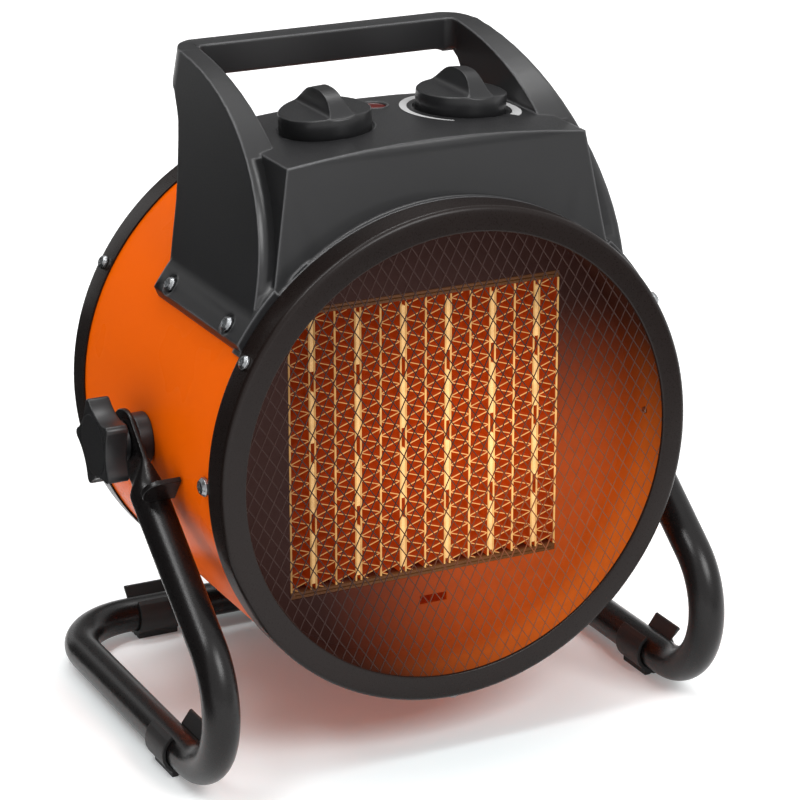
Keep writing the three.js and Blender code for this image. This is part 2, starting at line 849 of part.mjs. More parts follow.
function boxSide(inset) {
  const edge = 1.4;
  return shapeOf([
    [boxFrontBottom - 3 + inset, 60],
    [boxRear - inset, 60],
    [boxRear - inset, 160],
    [boxFrontTop + edge + inset, 160],
    [boxFrontTop + edge + inset, deckCrown],
    [boxFrontTop + 0.4 + inset, deckCrown - 1.6],
    [boxFrontTop + inset, deckCrown - 3.4],
    [boxFrontTop + inset, boxEdgeHeight],
    [boxFrontBottom + inset, 91],
  ]);
}

function controlBox() {
  const outside = alongY(boxSection(0), -90, 30).intersect(alongX(boxSide(0), -100, 100));
  const inside = alongY(boxSection(wall), -90, 30).intersect(alongX(boxSide(wall), -66, 66));
  return { outside, inside };
}

// Side view of a cheek with the handle's end, an ellipse in front and a stepped curve behind.
// The ellipse is pulled in by an inset that fades out towards the handle.
function cheekSide(inset) {
  const points = [[cheekCentre.y - cheekAxes.y + inset, 58]];
  const steps = 16;
  for (let i = 0; i <= steps; i++) {
    const angle = (Math.PI / 2) * (i / steps);
    const pulled = inset * (1 - (i / steps) ** 6);
    points.push([
      cheekCentre.y - (cheekAxes.y - pulled) * Math.cos(angle),
      cheekCentre.z + (cheekAxes.z - pulled) * Math.sin(angle),
    ]);
  }
  points.push([61.5, handleTop], [62.6, handleTop - 0.8], [handleRear, handleTop - 2.2]);
  points.push([handleRear, 158.4], [62.4, 157], [61, handleUnderside]);
  points.push([52.3, handleUnderside], [44.7, 152.3], [38.1, 144.3], [35.4, 140.2]);
  points.push([32.2, 131.6], [29.2, 121.9], [26.9, 113.9], [24.8, 105], [23.8, 95.7]);
  points.push([22.8, 86.5], [21.5, 76.3], [20.5, 58]);
  return shapeOf(points);
}

// A solid whose side view changes evenly between two outlines with as many points.
function betweenSides(near, far, from, to) {
  const nearPoints = near.getPoints();
  const farPoints = far.getPoints();
  const depth = to - from;
  const geometry = new THREE.ExtrudeGeometry(near, { depth, bevelEnabled: false });
  const place = geometry.attributes.position;
  for (let i = 0; i < place.count; i++) {
    if (place.getZ(i) < depth / 2) continue;
    const here = new THREE.Vector2(place.getX(i), place.getY(i));
    const index = nearPoints.findIndex((point) => point.distanceTo(here) < 0.001);
    place.setXY(i, farPoints[index].x, farPoints[index].y);
  }
  return solid(geometry.rotateX(Math.PI / 2).rotateZ(Math.PI / 2).translate(from, 0, 0));
}

// Both cheeks and the handle between them.
function cheeksAndHandle() {
  const growth = (cheekFall * (100 - cheekTopOuter)) / (cheekTopOuter - cheekInner);
  const right = betweenSides(cheekSide(cheekFall), cheekSide(-growth), cheekInner, 100);
  const middle = alongX(cheekSide(0), -cheekInner, cheekInner);
  return joined([right, right.mirror([1, 0, 0]), middle]);
}

function leanSection() {
  const low = 58;
  const high = 175;
  const foot = sideX(cheekOuter, cheekReference, low);
  const head = sideX(cheekOuter, cheekReference, high);
  return shapeOf([[-foot, low], [foot, low], [head, high], [-head, high]]);
}

// Upright block that rounds the rear corners of the handle and leans with the cheeks.
function handlePlan() {
  const half = sideX(cheekOuter, cheekReference, 163);
  const plan = new THREE.Shape();
  plan.moveTo(-100, -90);
  plan.lineTo(100, -90);
  plan.lineTo(100, 40);
  plan.lineTo(half + 2.2, 41);
  plan.lineTo(half, handleRear - handleCornerRadius);
  const cornerX = half - handleCornerRadius;
  const cornerY = handleRear - handleCornerRadius;
  plan.absarc(cornerX, cornerY, handleCornerRadius, 0, Math.PI / 2);
  plan.absarc(-cornerX, cornerY, handleCornerRadius, Math.PI / 2, Math.PI);
  plan.lineTo(-half - 2.2, 41);
  plan.lineTo(-100, 40);
  const depth = planHead - planFoot;
  const extrusion = { depth, bevelEnabled: false, curveSegments: 6 };
  const geometry = new THREE.ExtrudeGeometry(plan, extrusion).translate(0, 0, planFoot);
  const place = geometry.attributes.position;
  for (let i = 0; i < place.count; i++) {
    const spread = sideX(cheekOuter, cheekReference, place.getZ(i)) / half;
    place.setX(i, place.getX(i) * spread);
  }
  return solid(geometry);
}

// The space between the cheeks, with rounded corners in front of the handle.
function betweenCheeks() {
  const plan = new THREE.Shape();
  plan.moveTo(-cheekInner, -90);
  plan.lineTo(cheekInner, -90);
  const x = cheekInner - innerFillet;
  const y = handleFront - innerFillet;
  plan.absarc(x, y, innerFillet, 0, Math.PI / 2);
  plan.absarc(-x, y, innerFillet, Math.PI / 2, Math.PI);
  const low = box(-cheekInner, cheekInner, -90, handleFront, planFoot, handleUnderside);
  return low.add(alongZ(plan, handleUnderside - 1, planHead, 4));
}

// The opening between the cheeks and under the handle, with filleted upper corners.
function gripWindow() {
  const top = handleUnderside;
  const window = new THREE.Shape();
  window.moveTo(-cheekInner, 50);
  window.lineTo(cheekInner, 50);
  window.absarc(cheekInner - gripFillet, top - gripFillet, gripFillet, 0, Math.PI / 2);
  window.absarc(-cheekInner + gripFillet, top - gripFillet, gripFillet, Math.PI / 2, Math.PI);
  return alongY(window, handleFront - 1, 80, 6);
}

function mountingPad(side) {
  const pad = new THREE.Shape();
  const bevel = 2.1;
  const steps = 5;
  const at = (r, angle) => [r * Math.cos(degrees(angle)), r * Math.sin(degrees(angle))];
  const points = [];
  for (let i = 0; i <= steps; i++) {
    const start = padStart + bevel;
    points.push(at(padRadius, start + ((padEnd - start) * i) / steps));
  }
  for (let i = steps; i >= 0; i--) {
    points.push(at(housingBore - 2, padStart + ((padEnd - padStart) * i) / steps));
  }
  pad.setFromPoints(points.map(([u, v]) => new THREE.Vector2(u, v)));
  const body = alongY(pad, padFront, padRear);
  return side > 0 ? body : body.mirror([1, 0, 0]);
}

// Thin lip that brings the housing's front edge up to the front ring.
function frontLip() {
  const from = degrees(padStart);
  const to = Math.PI - from;
  const outer = arcPoints(lipRadius, from, to, 40);
  const inner = arcPoints(housingBore - 2, from, to, 40).reverse();
  return alongY(new THREE.Shape([...outer, ...inner]), padFront, boxFrontTop);
}

function wireHole() {
  return alongZ(circle(6.5), 100, 125);
}

function housingHoles() {
  const holes = [];
  for (const side of ["left", "right"]) {
    holes.push(knobPlace(alongZ(circle(4.2), -8, 8), side));
    holes.push(knobPlace(alongZ(circle(recessRadius, 40), -recessDepth, 8), side));
  }
  const lampSeat = deckCrown - lampRecess;
  holes.push(alongZ(circle(lampRadius - 1 + gap, 16), 130, 160).translate([0, lampY, 0]));
  holes.push(alongZ(circle(lampRadius + gap, 20), lampSeat, 160).translate([0, lampY, 0]));
  const backward = new THREE.Vector3(0, 1, 0);
  holes.push(rod(backward, 6.2 + gap, boxRear - 8, boxRear + 5, 16).translate([0, 0, glandHeight]));
  for (const angle of [padScrewAngle, 180 - padScrewAngle]) {
    for (const depth of padScrewDepths) {
      holes.push(radialRod(angle, depth, 2.2, 110, 150, 6));
      holes.push(radialRod(angle, depth, 5.4, padRadius - 1, 132, 14));
    }
  }
  return holes;
}

// Moves a piece drawn on the origin to a knob's place, square to the crowned deck.
function knobPlace(body, side) {
  const { x, y } = knobCentres[side];
  const deck = deckCrown - deckDrop * (x / boxHalfWidth) ** 2;
  const tilt = Math.atan((2 * deckDrop * x) / boxHalfWidth ** 2);
  return body.rotate([0, THREE.MathUtils.radToDeg(tilt), 0]).translate([x, y, deck]);
}

function controlHousing() {
  const { outside, inside } = controlBox();
  let cheeks = cheeksAndHandle();
  cheeks = cheeks.intersect(alongY(leanSection(), -90, 90));
  cheeks = cheeks.intersect(handlePlan());
  cheeks = without(cheeks, [betweenCheeks(), gripWindow()]);
  const drum = turned([[1, -100], [housingBore, -100], [housingBore, 100], [1, 100]], 80);
  const core = rod(new THREE.Vector3(0, 1, 0), 3, -100, 100, 8);
  const whole = joined([cheeks, outside, mountingPad(1), mountingPad(-1), frontLip()]);
  const body = without(whole, [inside, drum, core, ...housingHoles()]);
  return meshOf("control_housing", body, finish.blackPlastic());
}

// Switch block under the deck, its shaft standing up through it.
function switchBlock(name, side, halfWidth, height) {
  const top = -wall - 0.8;
  const block = box(-halfWidth, halfWidth, -halfWidth, halfWidth, top - height, top);
  const collar = alongZ(circle(3.9), top - 1, 1);
  const shaft = alongZ(circle(shaftRadius), 0, 13);
  return meshOf(name, knobPlace(joined([block, collar, shaft]), side), finish.blackPlastic());
}

function indicatorLamp() {
  const seat = deckCrown - lampRecess + gap;
  const stem = alongZ(circle(lampRadius - 1, 14), seat - 13, seat + 0.5);
  const cap = dome(lampRadius, lampRecess, 18).translate([0, 0, seat]);
  return meshOf("indicator_lamp", stem.add(cap).translate([0, lampY, 0]), finish.lamp());
}

// A flattened half ball on a flat base, pointing up.
function dome(radius, height, sides) {
  const steps = 4;
  const profile = [new THREE.Vector2(0, 0)];
  for (let i = 0; i < steps; i++) {
    const angle = (Math.PI / 2) * (i / steps);
    profile.push(new THREE.Vector2(radius * Math.cos(angle), height * Math.sin(angle)));
  }
  profile.push(new THREE.Vector2(0, height));
  return solid(new THREE.LatheGeometry(profile, sides).rotateX(Math.PI / 2));
}

// Side view of a knob's finger ridge, a low arch over the whole width.
function ridgeArch() {
  const foot = knobRim + 0.3;
  const points = [];
  const steps = 14;
  for (let i = 0; i <= steps; i++) {
    const across = 1 - (2 * i) / steps;
    const rise = (1 - Math.abs(across) ** 3.2) ** 1.5;
    points.push([across * knobRadius, foot + (knobHeight - foot) * rise]);
  }
  return shapeOf([[-knobRadius - 1, -3], [knobRadius + 1, -3], [knobRadius + 1, foot],
    ...points, [-knobRadius - 1, foot]]);
}

// Turning knob: a round base whose two sides are scooped to leave an arched finger ridge.
function turningKnob(name, side) {
  const foot = gap - recessDepth;
  const base = alongZ(circle(knobRadius, 36), foot, knobHeight + 1);
  const ridge = base.intersect(alongX(ridgeArch(), -30, 30));
  const floor = knobRim + 1.2;
  const scoop = [];
  const steps = 5;
  for (let i = 0; i <= steps; i++) {
    const angle = degrees(90 * (i / steps));
    const u = knobGripHalfWidth + (knobFlare - knobGripHalfWidth) * (1 - Math.cos(angle));
    scoop.push([u, knobHeight - 1.5 - (knobHeight - 1.5 - floor) * Math.sin(angle)]);
  }
  scoop.push([knobRadius + 1, knobRim], [knobRadius + 1, knobHeight + 5]);
  scoop.push([knobGripHalfWidth, knobHeight + 5]);
  const right = alongY(shapeOf(scoop), -30, 30);
  const bore = alongZ(circle(shaftRadius + gap), -2, 14);
  const well = alongZ(circle(4.6), -2, 2);
  const body = without(ridge, [right, right.mirror([1, 0, 0]), bore, well]);
  return meshOf(name, knobPlace(body, side), finish.blackPlastic());
}

function thermalCutout() {
  const disc = rod(new THREE.Vector3(0, 1, 0), 7, -53.5, -46, 16).translate([79, 0, 55]);
  const bracket = box(71.2, 87, -54.5, -53.1, 48, 62);
  return meshOf("thermal_cutout", disc.add(bracket), finish.steel());
}

function terminalBlock() {
  const body = box(-16, 16, -52, -40, 121.5, 131);
  const cuts = [-10.5, 0, 10.5].map((x) => box(x - 3, x + 3, -49, -43, 127, 140));
  return meshOf("terminal_block", without(body, cuts), finish.blackPlastic());
}

// Gland in the rear wall of the control box that a mains lead would pass through.
function cordGland() {
  const along = new THREE.Vector3(0, 1, 0);
  const flange = rod(along, 9, boxRear + gap, boxRear + 4, 20);
  const neck = rod(along, 6.2, boxRear - 8, boxRear + 3, 16);
  const tail = rod(along, 7.2, boxRear + 3, boxRear + 12, 16);
  const bore = rod(along, 3.6, boxRear - 20, boxRear + 20, 12);
  const body = joined([flange, neck, tail]).subtract(bore).translate([0, 0, glandHeight]);
  return meshOf("cord_gland", body, finish.rubber());
}

// Pan-head screw standing out along a radius of the drum.
function panScrew(name, angle, depth, seat, headRadius, headHeight, length) {
  const profile = [
    [0, 0],
    [headRadius, 0],
    [headRadius, headHeight * 0.45],
    [headRadius * 0.7, headHeight],
    [0, headHeight],
  ].map(([r, z]) => new THREE.Vector2(r, z));
  const head = solid(new THREE.LatheGeometry(profile, 10).rotateX(Math.PI / 2));
  const shank = alongZ(circle(1.8, 6), -length, 0.2);
  const arm = headRadius * 0.5;
  const slots = [
    box(-arm, arm, -0.6, 0.6, headHeight - 1.1, headHeight + 1),
    box(-0.6, 0.6, -arm, arm, headHeight - 1.1, headHeight + 1),
  ];
  const screw = without(head.add(shank), slots);
  const placed = screw.translate([0, 0, seat]).rotate([0, 90 - angle, 0]);
  return meshOf(name, placed.translate([0, depth, 0]), finish.steel());
}

function screws() {
  const list = [];
  ringScrewAngles.forEach((angle, i) => {
    const seat = drumRadius + 0.15;
    const { front, rear } = ringScrewDepths;
    list.push(panScrew(`bezel_screw_${i + 1}`, angle, front, seat, 3.5, 2.4, 6));
    list.push(panScrew(`rear_ring_screw_${i + 1}`, angle, rear, seat, 3.5, 2.4, 6));
  });
  for (const [side, angle] of [["right", padScrewAngle], ["left", 180 - padScrewAngle]]) {
    for (const [place, depth] of [["front", padScrewDepths[0]], ["rear", padScrewDepths[1]]]) {
      const name = `housing_screw_${place}_${side}`;
      list.push(panScrew(name, angle, depth, padRadius - 0.8, 3.8, 2.6, 9));
    }
  }
  for (const [side, angle] of [["right", 0], ["left", 180]]) {
    const seat = shellRadius + gap;
    list.push(panScrew(`duct_screw_${side}`, angle, ductScrewDepth, seat, 4.5, 3, 10.5));
  }
  return list;
}

// Assembly
function stand() {
  const group = new THREE.Group();
  group.add(standTube(), ...footClips());
  group.add(stopTab("stop_tab_left", -1), stopTab("stop_tab_right", 1));
  return group;
}

function heatingElement() {
  const group = new THREE.Group();
  for (let i = 0; i < barCount; i++) group.add(heatingBar(i));
  for (let i = 0; i <= barCount; i++) group.add(finPack(i));
  group.add(elementRail("element_rail_top", 1), elementRail("element_rail_bottom", -1));
  return group;
}

function heater() {
  const group = new THREE.Group();
  group.add(drumShell(), endRing("front_bezel", -1), endRing("rear_bezel", 1));
  group.add(frontNet(), rearGrille(), innerDuct(), bafflePlate(), heatingElement());
  group.add(motor(), motorBracket(), fan());
  group.add(controlHousing(), indicatorLamp(), terminalBlock(), thermalCutout(), cordGland());
  group.add(switchBlock("selector_switch", "left", 13, 16));
  group.add(switchBlock("thermostat", "right", 12, 14));
  group.add(turningKnob("selector_knob", "left"), turningKnob("thermostat_knob", "right"));
  group.add(spacer("pivot_spacer_left", -1), spacer("pivot_spacer_right", 1));
  group.add(pivotStud("pivot_stud_left", -1), pivotStud("pivot_stud_right", 1));
  group.add(clampKnob("clamp_knob_left", -1), clampKnob("clamp_knob_right", 1));
  group.add(...screws());
  return group;
}

const tiltHeater = new THREE.Group();
tiltHeater.add(stand(), heater());
tiltHeater.position.set(0, depthShift, pivotHeight);

export default tiltHeater;
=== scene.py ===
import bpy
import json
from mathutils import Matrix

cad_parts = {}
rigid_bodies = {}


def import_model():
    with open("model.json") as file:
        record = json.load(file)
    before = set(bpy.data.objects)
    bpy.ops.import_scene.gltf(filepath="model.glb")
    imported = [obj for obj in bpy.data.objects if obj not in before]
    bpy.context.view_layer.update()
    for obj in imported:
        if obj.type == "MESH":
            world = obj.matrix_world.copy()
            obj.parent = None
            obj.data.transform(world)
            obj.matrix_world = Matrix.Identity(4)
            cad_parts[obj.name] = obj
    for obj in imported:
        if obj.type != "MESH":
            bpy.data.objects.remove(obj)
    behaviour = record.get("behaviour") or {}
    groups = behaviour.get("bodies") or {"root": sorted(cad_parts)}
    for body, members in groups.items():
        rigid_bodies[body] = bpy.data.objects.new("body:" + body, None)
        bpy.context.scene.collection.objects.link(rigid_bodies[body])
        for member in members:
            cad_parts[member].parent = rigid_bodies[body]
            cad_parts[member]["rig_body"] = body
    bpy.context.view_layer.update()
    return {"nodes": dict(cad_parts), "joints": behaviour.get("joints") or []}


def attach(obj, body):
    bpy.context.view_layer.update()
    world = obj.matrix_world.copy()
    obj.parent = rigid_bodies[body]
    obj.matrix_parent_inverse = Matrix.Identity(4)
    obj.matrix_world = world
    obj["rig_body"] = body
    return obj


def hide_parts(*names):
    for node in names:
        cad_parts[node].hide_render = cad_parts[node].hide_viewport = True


bl_info = {
    "name": "Standing Heater Dressing",
    "version": (1, 0, 0),
    "blender": (4, 5, 0),
    "location": "View3D > Sidebar > Heater",
    "description": "Dresses the packed standing heater with fine pieces, finishes, lamps and a camera",
    "category": "Object",
}

import json
import math

import bmesh
import bpy
import numpy as np
from mathutils import Matrix, Vector

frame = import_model()

MM = 0.001
MERGE_DISTANCE = 0.002 * MM
TILT_JOINT = next(joint for joint in frame["joints"] if joint["name"] == "tilt")
# The drum's axis in millimetres above the floor. The heater's pieces are drawn from it.
AXIS = np.array(TILT_JOINT["pos_m"]) / MM


# Colours and scales
def linear(hex_text):
    """The linear colour of an sRGB hex value, as four numbers."""
    parts = [int(hex_text[i : i + 2], 16) / 255 for i in (1, 3, 5)]
    curved = [c / 12.92 if c <= 0.04045 else ((c + 0.055) / 1.055) ** 2.4 for c in parts]
    return (*curved, 1.0)


def per_metre(millimetres):
    """Pattern scale whose features are that many millimetres across."""
    return 1000 / millimetres


def smoothstep(t):
    """The curve 3t² - 2t³ between 0 and 1, flat at both ends."""
    t = np.clip(t, 0, 1)
    return t * t * (3 - 2 * t)


# Surfaces. Points are worked out in whole arrays, in millimetres from the drum's axis.
def grid_faces(rows, columns, close_rows=False, close_columns=True):
    """Four-cornered faces between neighbouring points of a grid stored row by row."""
    last_row = rows if close_rows else rows - 1
    last_column = columns if close_columns else columns - 1
    i, j = np.meshgrid(np.arange(last_row), np.arange(last_column), indexing="ij")
    i, j = i.ravel(), j.ravel()
    below, beside = (i + 1) % rows, (j + 1) % columns
    corners = [i * columns + j, below * columns + j, below * columns + beside, i * columns + beside]
    return np.stack(corners, axis=1)


def end_caps(rows, columns):
    """One many-cornered face for the first row of a closed tube and one for its last."""
    first = np.arange(columns)
    return [first.tolist(), (first + (rows - 1) * columns)[::-1].tolist()]


def tube_surface(grid, capped=True):
    """Points and faces of a tube: the grid's rows are its sections, each a closed loop."""
    rows, columns, _ = grid.shape
    faces = grid_faces(rows, columns).tolist()
    if capped:
        faces += end_caps(rows, columns)
    return grid.reshape(-1, 3), faces


def together(surfaces):
    """Several surfaces as one list of points and one of faces."""
    points, faces, offset = [], [], 0
    for surface_points, surface_faces in surfaces:
        points.append(surface_points)
        faces += [[corner + offset for corner in face] for face in surface_faces]
        offset += len(surface_points)
    return np.concatenate(points), faces


def revolved(profile, steps):
    """A closed profile of (radius r, depth y) turned about the drum's axis.
    Each point is (r cos a, y, r sin a) for an angle a that runs once round."""
    angle = np.linspace(0, 2 * np.pi, steps, endpoint=False)[:, None]
    r, y = np.asarray(profile, float).T
    grid = np.stack([r * np.cos(angle), y + 0 * angle, r * np.sin(angle)], axis=-1)
    rows, columns, _ = grid.shape
    return grid.reshape(-1, 3), grid_faces(rows, columns, close_rows=True).tolist()


def on_circle(angle):
    """Points (cos a, sin a) on the unit circle, one for each angle in radians."""
    return np.column_stack([np.cos(angle), np.sin(angle)])


def arc(centre, radius, start, stop, steps):
    """Points at centre + radius (cos a, sin a) for angles a from start to stop, in degrees."""
    return np.array(centre) + radius * on_circle(np.radians(np.linspace(start, stop, steps)))


def mesh_piece(name, surface, material, body, replaces=(), smooth_angle=35):
    """A piece from points and faces, with doubles merged, faces turned out and soft shading."""
    points, faces = surface
    data = bpy.data.meshes.new(name)
    data.from_pydata(((points + AXIS) * MM).tolist(), [], faces)
    shape = bmesh.new()
    shape.from_mesh(data)
    bmesh.ops.remove_doubles(shape, verts=shape.verts, dist=MERGE_DISTANCE)
    bmesh.ops.recalc_face_normals(shape, faces=shape.faces)
    shape.to_mesh(data)
    shape.free()
    return shown(name, data, material, body, replaces, smooth_angle)


def shown(name, data, material, body, replaces, smooth_angle):
    """Links a mesh as a piece that rides on a body and takes a finish."""
    data.materials.clear()
    data.materials.append(material)
    data.shade_smooth()
    data.set_sharp_from_angle(angle=math.radians(smooth_angle))
    piece = bpy.data.objects.new(name, data)
    bpy.context.scene.collection.objects.link(piece)
    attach(piece, body)
    if replaces:
        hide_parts(*replaces)
    return piece


def merged_copy(node, name, material, smooth_angle=32, round_edge=0.0):
    """A copy of a CAD node with its loose triangles merged, so that its curves shade softly.
    With round_edge, a bevel of that many millimetres rounds its sharp edges."""
    source = frame["nodes"][node]
    data = source.data.copy()
    data.name = name
    shape = bmesh.new()
    shape.from_mesh(data)
    bmesh.ops.remove_doubles(shape, verts=shape.verts, dist=MERGE_DISTANCE)
    flat = math.radians(0.4)
    bmesh.ops.dissolve_limit(shape, angle_limit=flat, verts=shape.verts, edges=shape.edges)
    shape.to_mesh(data)
    shape.free()
    piece = shown(name, data, material, source["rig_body"], [node], smooth_angle)
    if round_edge:
        bevel = piece.modifiers.new("rounded edges", "BEVEL")
        bevel.width = round_edge * MM
        bevel.segments = 3
        bevel.limit_method = "ANGLE"
        bevel.angle_limit = math.radians(smooth_angle)
    # Wide flat faces keep their own direction where they meet narrow curved ones.
    weighted = piece.modifiers.new("weighted normals", "WEIGHTED_NORMAL")
    weighted.mode = "FACE_AREA_WITH_ANGLE"
    weighted.weight = 100
    weighted.keep_sharp = True
    return piece


# Finishes
# Most of a noise pattern's values lie in this range.
NOISE_SPAN = {"From Min": 0.3, "From Max": 0.7}
# Likeness of an edge's rounded and flat direction at which the painted edge highlight starts, and at
# which it is full.
EDGE_HIGHLIGHT_SPAN = {"From Min": 0.95, "From Max": 0.8}


def add_node(tree, kind, inputs=None, **settings):
    """Adds a shader node with its settings. An input is a value, or it is linked to a socket or
    to the first output of a node."""
    node = tree.nodes.new(f"ShaderNode{kind}")
    for name, value in settings.items():
        setattr(node, name, value)
    for name, value in (inputs or {}).items():
        if isinstance(value, bpy.types.Node):
            value = value.outputs[0]
        if isinstance(value, bpy.types.NodeSocket):
            tree.links.new(value, node.inputs[name])
        else:
            node.inputs[name].default_value = value
    return node


def new_finish(name):
    """An empty node material with its tree and the Object coordinates that its patterns read."""
    material = bpy.data.materials.new(name)
    material.use_nodes = True
    tree = material.node_tree
    tree.nodes.clear()
    place = add_node(tree, "TexCoord").outputs["Object"]
    return material, tree, place


def orange_powder_coat(colour):
    """Semi-gloss orange polyester powder coat on rolled steel sheet.
    The eye sees broad soft reflections, broken by a very slight orange peel."""
    material, tree, place = new_finish("orange_powder_coat")
    # Orange peel has waves 2 to 4 mm long and about ten micrometres high.
    peel = add_node(tree, "TexNoise", {"Vector": place, "Scale": per_metre(3.2)})
    bump = add_node(tree, "Bump", {"Height": peel, "Strength": 0.5, "Distance": 0.025 * MM})
    # Sheet from the rolls differs a little in gloss over a hand's width.
    cloud = add_node(tree, "TexNoise", {"Vector": place, "Scale": per_metre(90), "Detail": 3.0})
    gloss = add_node(tree, "MapRange", {"Value": cloud, "To Min": 0.25, "To Max": 0.34, **NOISE_SPAN})
    tone = add_node(tree, "MapRange", {"Value": cloud, "To Min": 0.975, "To Max": 1.025, **NOISE_SPAN})
    shade = add_node(tree, "HueSaturation", {"Color": (*colour, 1.0), "Value": tone})
    coat = add_node(
        tree,
        "BsdfPrincipled",
        {"Base Color": shade, "Roughness": gloss, "Normal": bump, "Specular IOR Level": 0.025},
    )
    add_node(tree, "OutputMaterial", {"Surface": coat})
    return material


def grained_black(name, colour, grain, height, roughness, spread, edge, gloss_level, highlight_share=0.0):
    """Near-black surface with a fine grain: its bump and its gloss follow the same noise.
    Its edges catch the light as if rounded to the edge radius, in millimetres. A painted highlight
    makes the middle of each edge paler by the highlight share, from 0 to 1; it falls on hollow creases
    too."""
    material, tree, place = new_finish(name)
    grains = {"Vector": place, "Scale": per_metre(grain), "Detail": 3.0, "Roughness": 0.6}
    noise = add_node(tree, "TexNoise", grains)
    rounded = add_node(tree, "Bevel", {"Radius": edge * MM}, samples=6)
    relief = {"Height": noise, "Strength": 0.8, "Distance": height * MM, "Normal": rounded}
    bump = add_node(tree, "Bump", relief)
    dulled = {"Value": noise, "To Min": roughness - spread, "To Max": roughness + spread}
    gloss = add_node(tree, "MapRange", {**dulled, **NOISE_SPAN})
    cloud = add_node(tree, "TexNoise", {"Vector": place, "Scale": per_metre(60)})
    tone = add_node(tree, "MapRange", {"Value": cloud, "To Min": 0.9, "To Max": 1.1, **NOISE_SPAN})
    shade = add_node(tree, "HueSaturation", {"Color": (*colour, 1.0), "Value": tone})
    flat = add_node(tree, "NewGeometry").outputs["Normal"]
    likeness = add_node(tree, "VectorMath", {0: rounded, 1: flat}, operation="DOT_PRODUCT")
    highlight_span = {"Value": likeness.outputs["Value"], "To Max": highlight_share, **EDGE_HIGHLIGHT_SPAN}
    # Painted highlight: the middle of each edge, where the rounded and flat directions part, is mixed
    # towards pale grey.
    painted_highlight = add_node(tree, "MapRange", highlight_span, interpolation_type="SMOOTHSTEP")
    highlighted = add_node(tree, "MixRGB", {"Fac": painted_highlight, "Color1": shade, "Color2": linear("#8e8e90")})
    surface = add_node(
        tree,
        "BsdfPrincipled",
        {"Base Color": highlighted, "Roughness": gloss, "Normal": bump, "Specular IOR Level": gloss_level},
    )
    add_node(tree, "OutputMaterial", {"Surface": surface})
    return material


def satin_black_coat(colour):
    """Satin black powder coat on pressed sheet: even, with long soft streaks of light.
    Its texture is finer than half a millimetre and is drawn at 0.6 mm so that it shows."""
    return grained_black("satin_black_coat", colour, 0.6, 0.004, 0.3, 0.05, 0.5, 0.2)


def gloss_black_tube(colour):
    """Smooth black powder coat of the bent tube, with streaks of light along its bends."""
    return grained_black("gloss_black_tube", colour, 0.6, 0.002, 0.29, 0.03, 0.5, 0.27)


def moulded_black_abs(colour):
    """Black ABS moulded in a spark-eroded tool: a fine even grain that dulls its reflections.
    The real grain is about 0.3 mm and is drawn at 0.7 mm so that it shows."""
    # Its edges carry a painted highlight, at the share 0.45.
    return grained_black("moulded_black_abs", colour, 0.7, 0.012, 0.33, 0.05, 2.0, 0.42, 0.45)


def moulded_black_knob(colour):
    """Black ABS of the knobs: the same grain with tighter edges."""
    # Its edges carry a painted highlight, at the share 0.25.
    return grained_black("moulded_black_knob", colour, 0.7, 0.01, 0.33, 0.05, 0.6, 0.34, 0.25)


def moulded_rubber(colour):
    """Black nitrile rubber, moulded: dull and plain, with no pale edges."""
    return grained_black("moulded_rubber", colour, 0.9, 0.02, 0.5, 0.06, 0.4, 0.35)


def zinc_plated_steel(colour):
    """Zinc-plated steel of screws, studs and brackets: bright, with faint cloudy patches."""
    material, tree, place = new_finish("zinc_plated_steel")
    cloud = add_node(tree, "TexNoise", {"Vector": place, "Scale": per_metre(1.6), "Detail": 3.0})
    gloss = add_node(tree, "MapRange", {"Value": cloud, "To Min": 0.22, "To Max": 0.42, **NOISE_SPAN})
    tone = add_node(tree, "MapRange", {"Value": cloud, "To Min": 0.85, "To Max": 1.1, **NOISE_SPAN})
    shade = add_node(tree, "HueSaturation", {"Color": (*colour, 1.0), "Value": tone})
    finish = {"Base Color": shade, "Roughness": gloss, "Metallic": 1.0}
    plate = add_node(tree, "BsdfPrincipled", finish)
    add_node(tree, "OutputMaterial", {"Surface": plate})
    return material


# Where the painted glow is strongest, a pool of painted light: its centre, the distances between which
# it fades, and what is left.
ELEMENT_GLOW = ((24, -50, -12), (10, 115), 0.24)
DUCT_GLOW = ((66, -60, -64), (30, 125), 0.02)


def glow_falloff(tree, place, centre, reach, rest):
    """A number that falls from 1 to rest between two distances from the centre, in millimetres."""
    shift = tuple(-(np.array(centre) + AXIS) * MM)
    moved = add_node(tree, "Mapping", {"Vector": place, "Location": shift})
    distance = add_node(tree, "VectorMath", {0: moved}, operation="LENGTH").outputs["Value"]
    near, far = np.array(reach) * MM
    fall = {"Value": distance, "From Min": near, "From Max": far, "To Min": 1.0, "To Max": rest}
    return add_node(tree, "MapRange", fall, interpolation_type="SMOOTHSTEP")


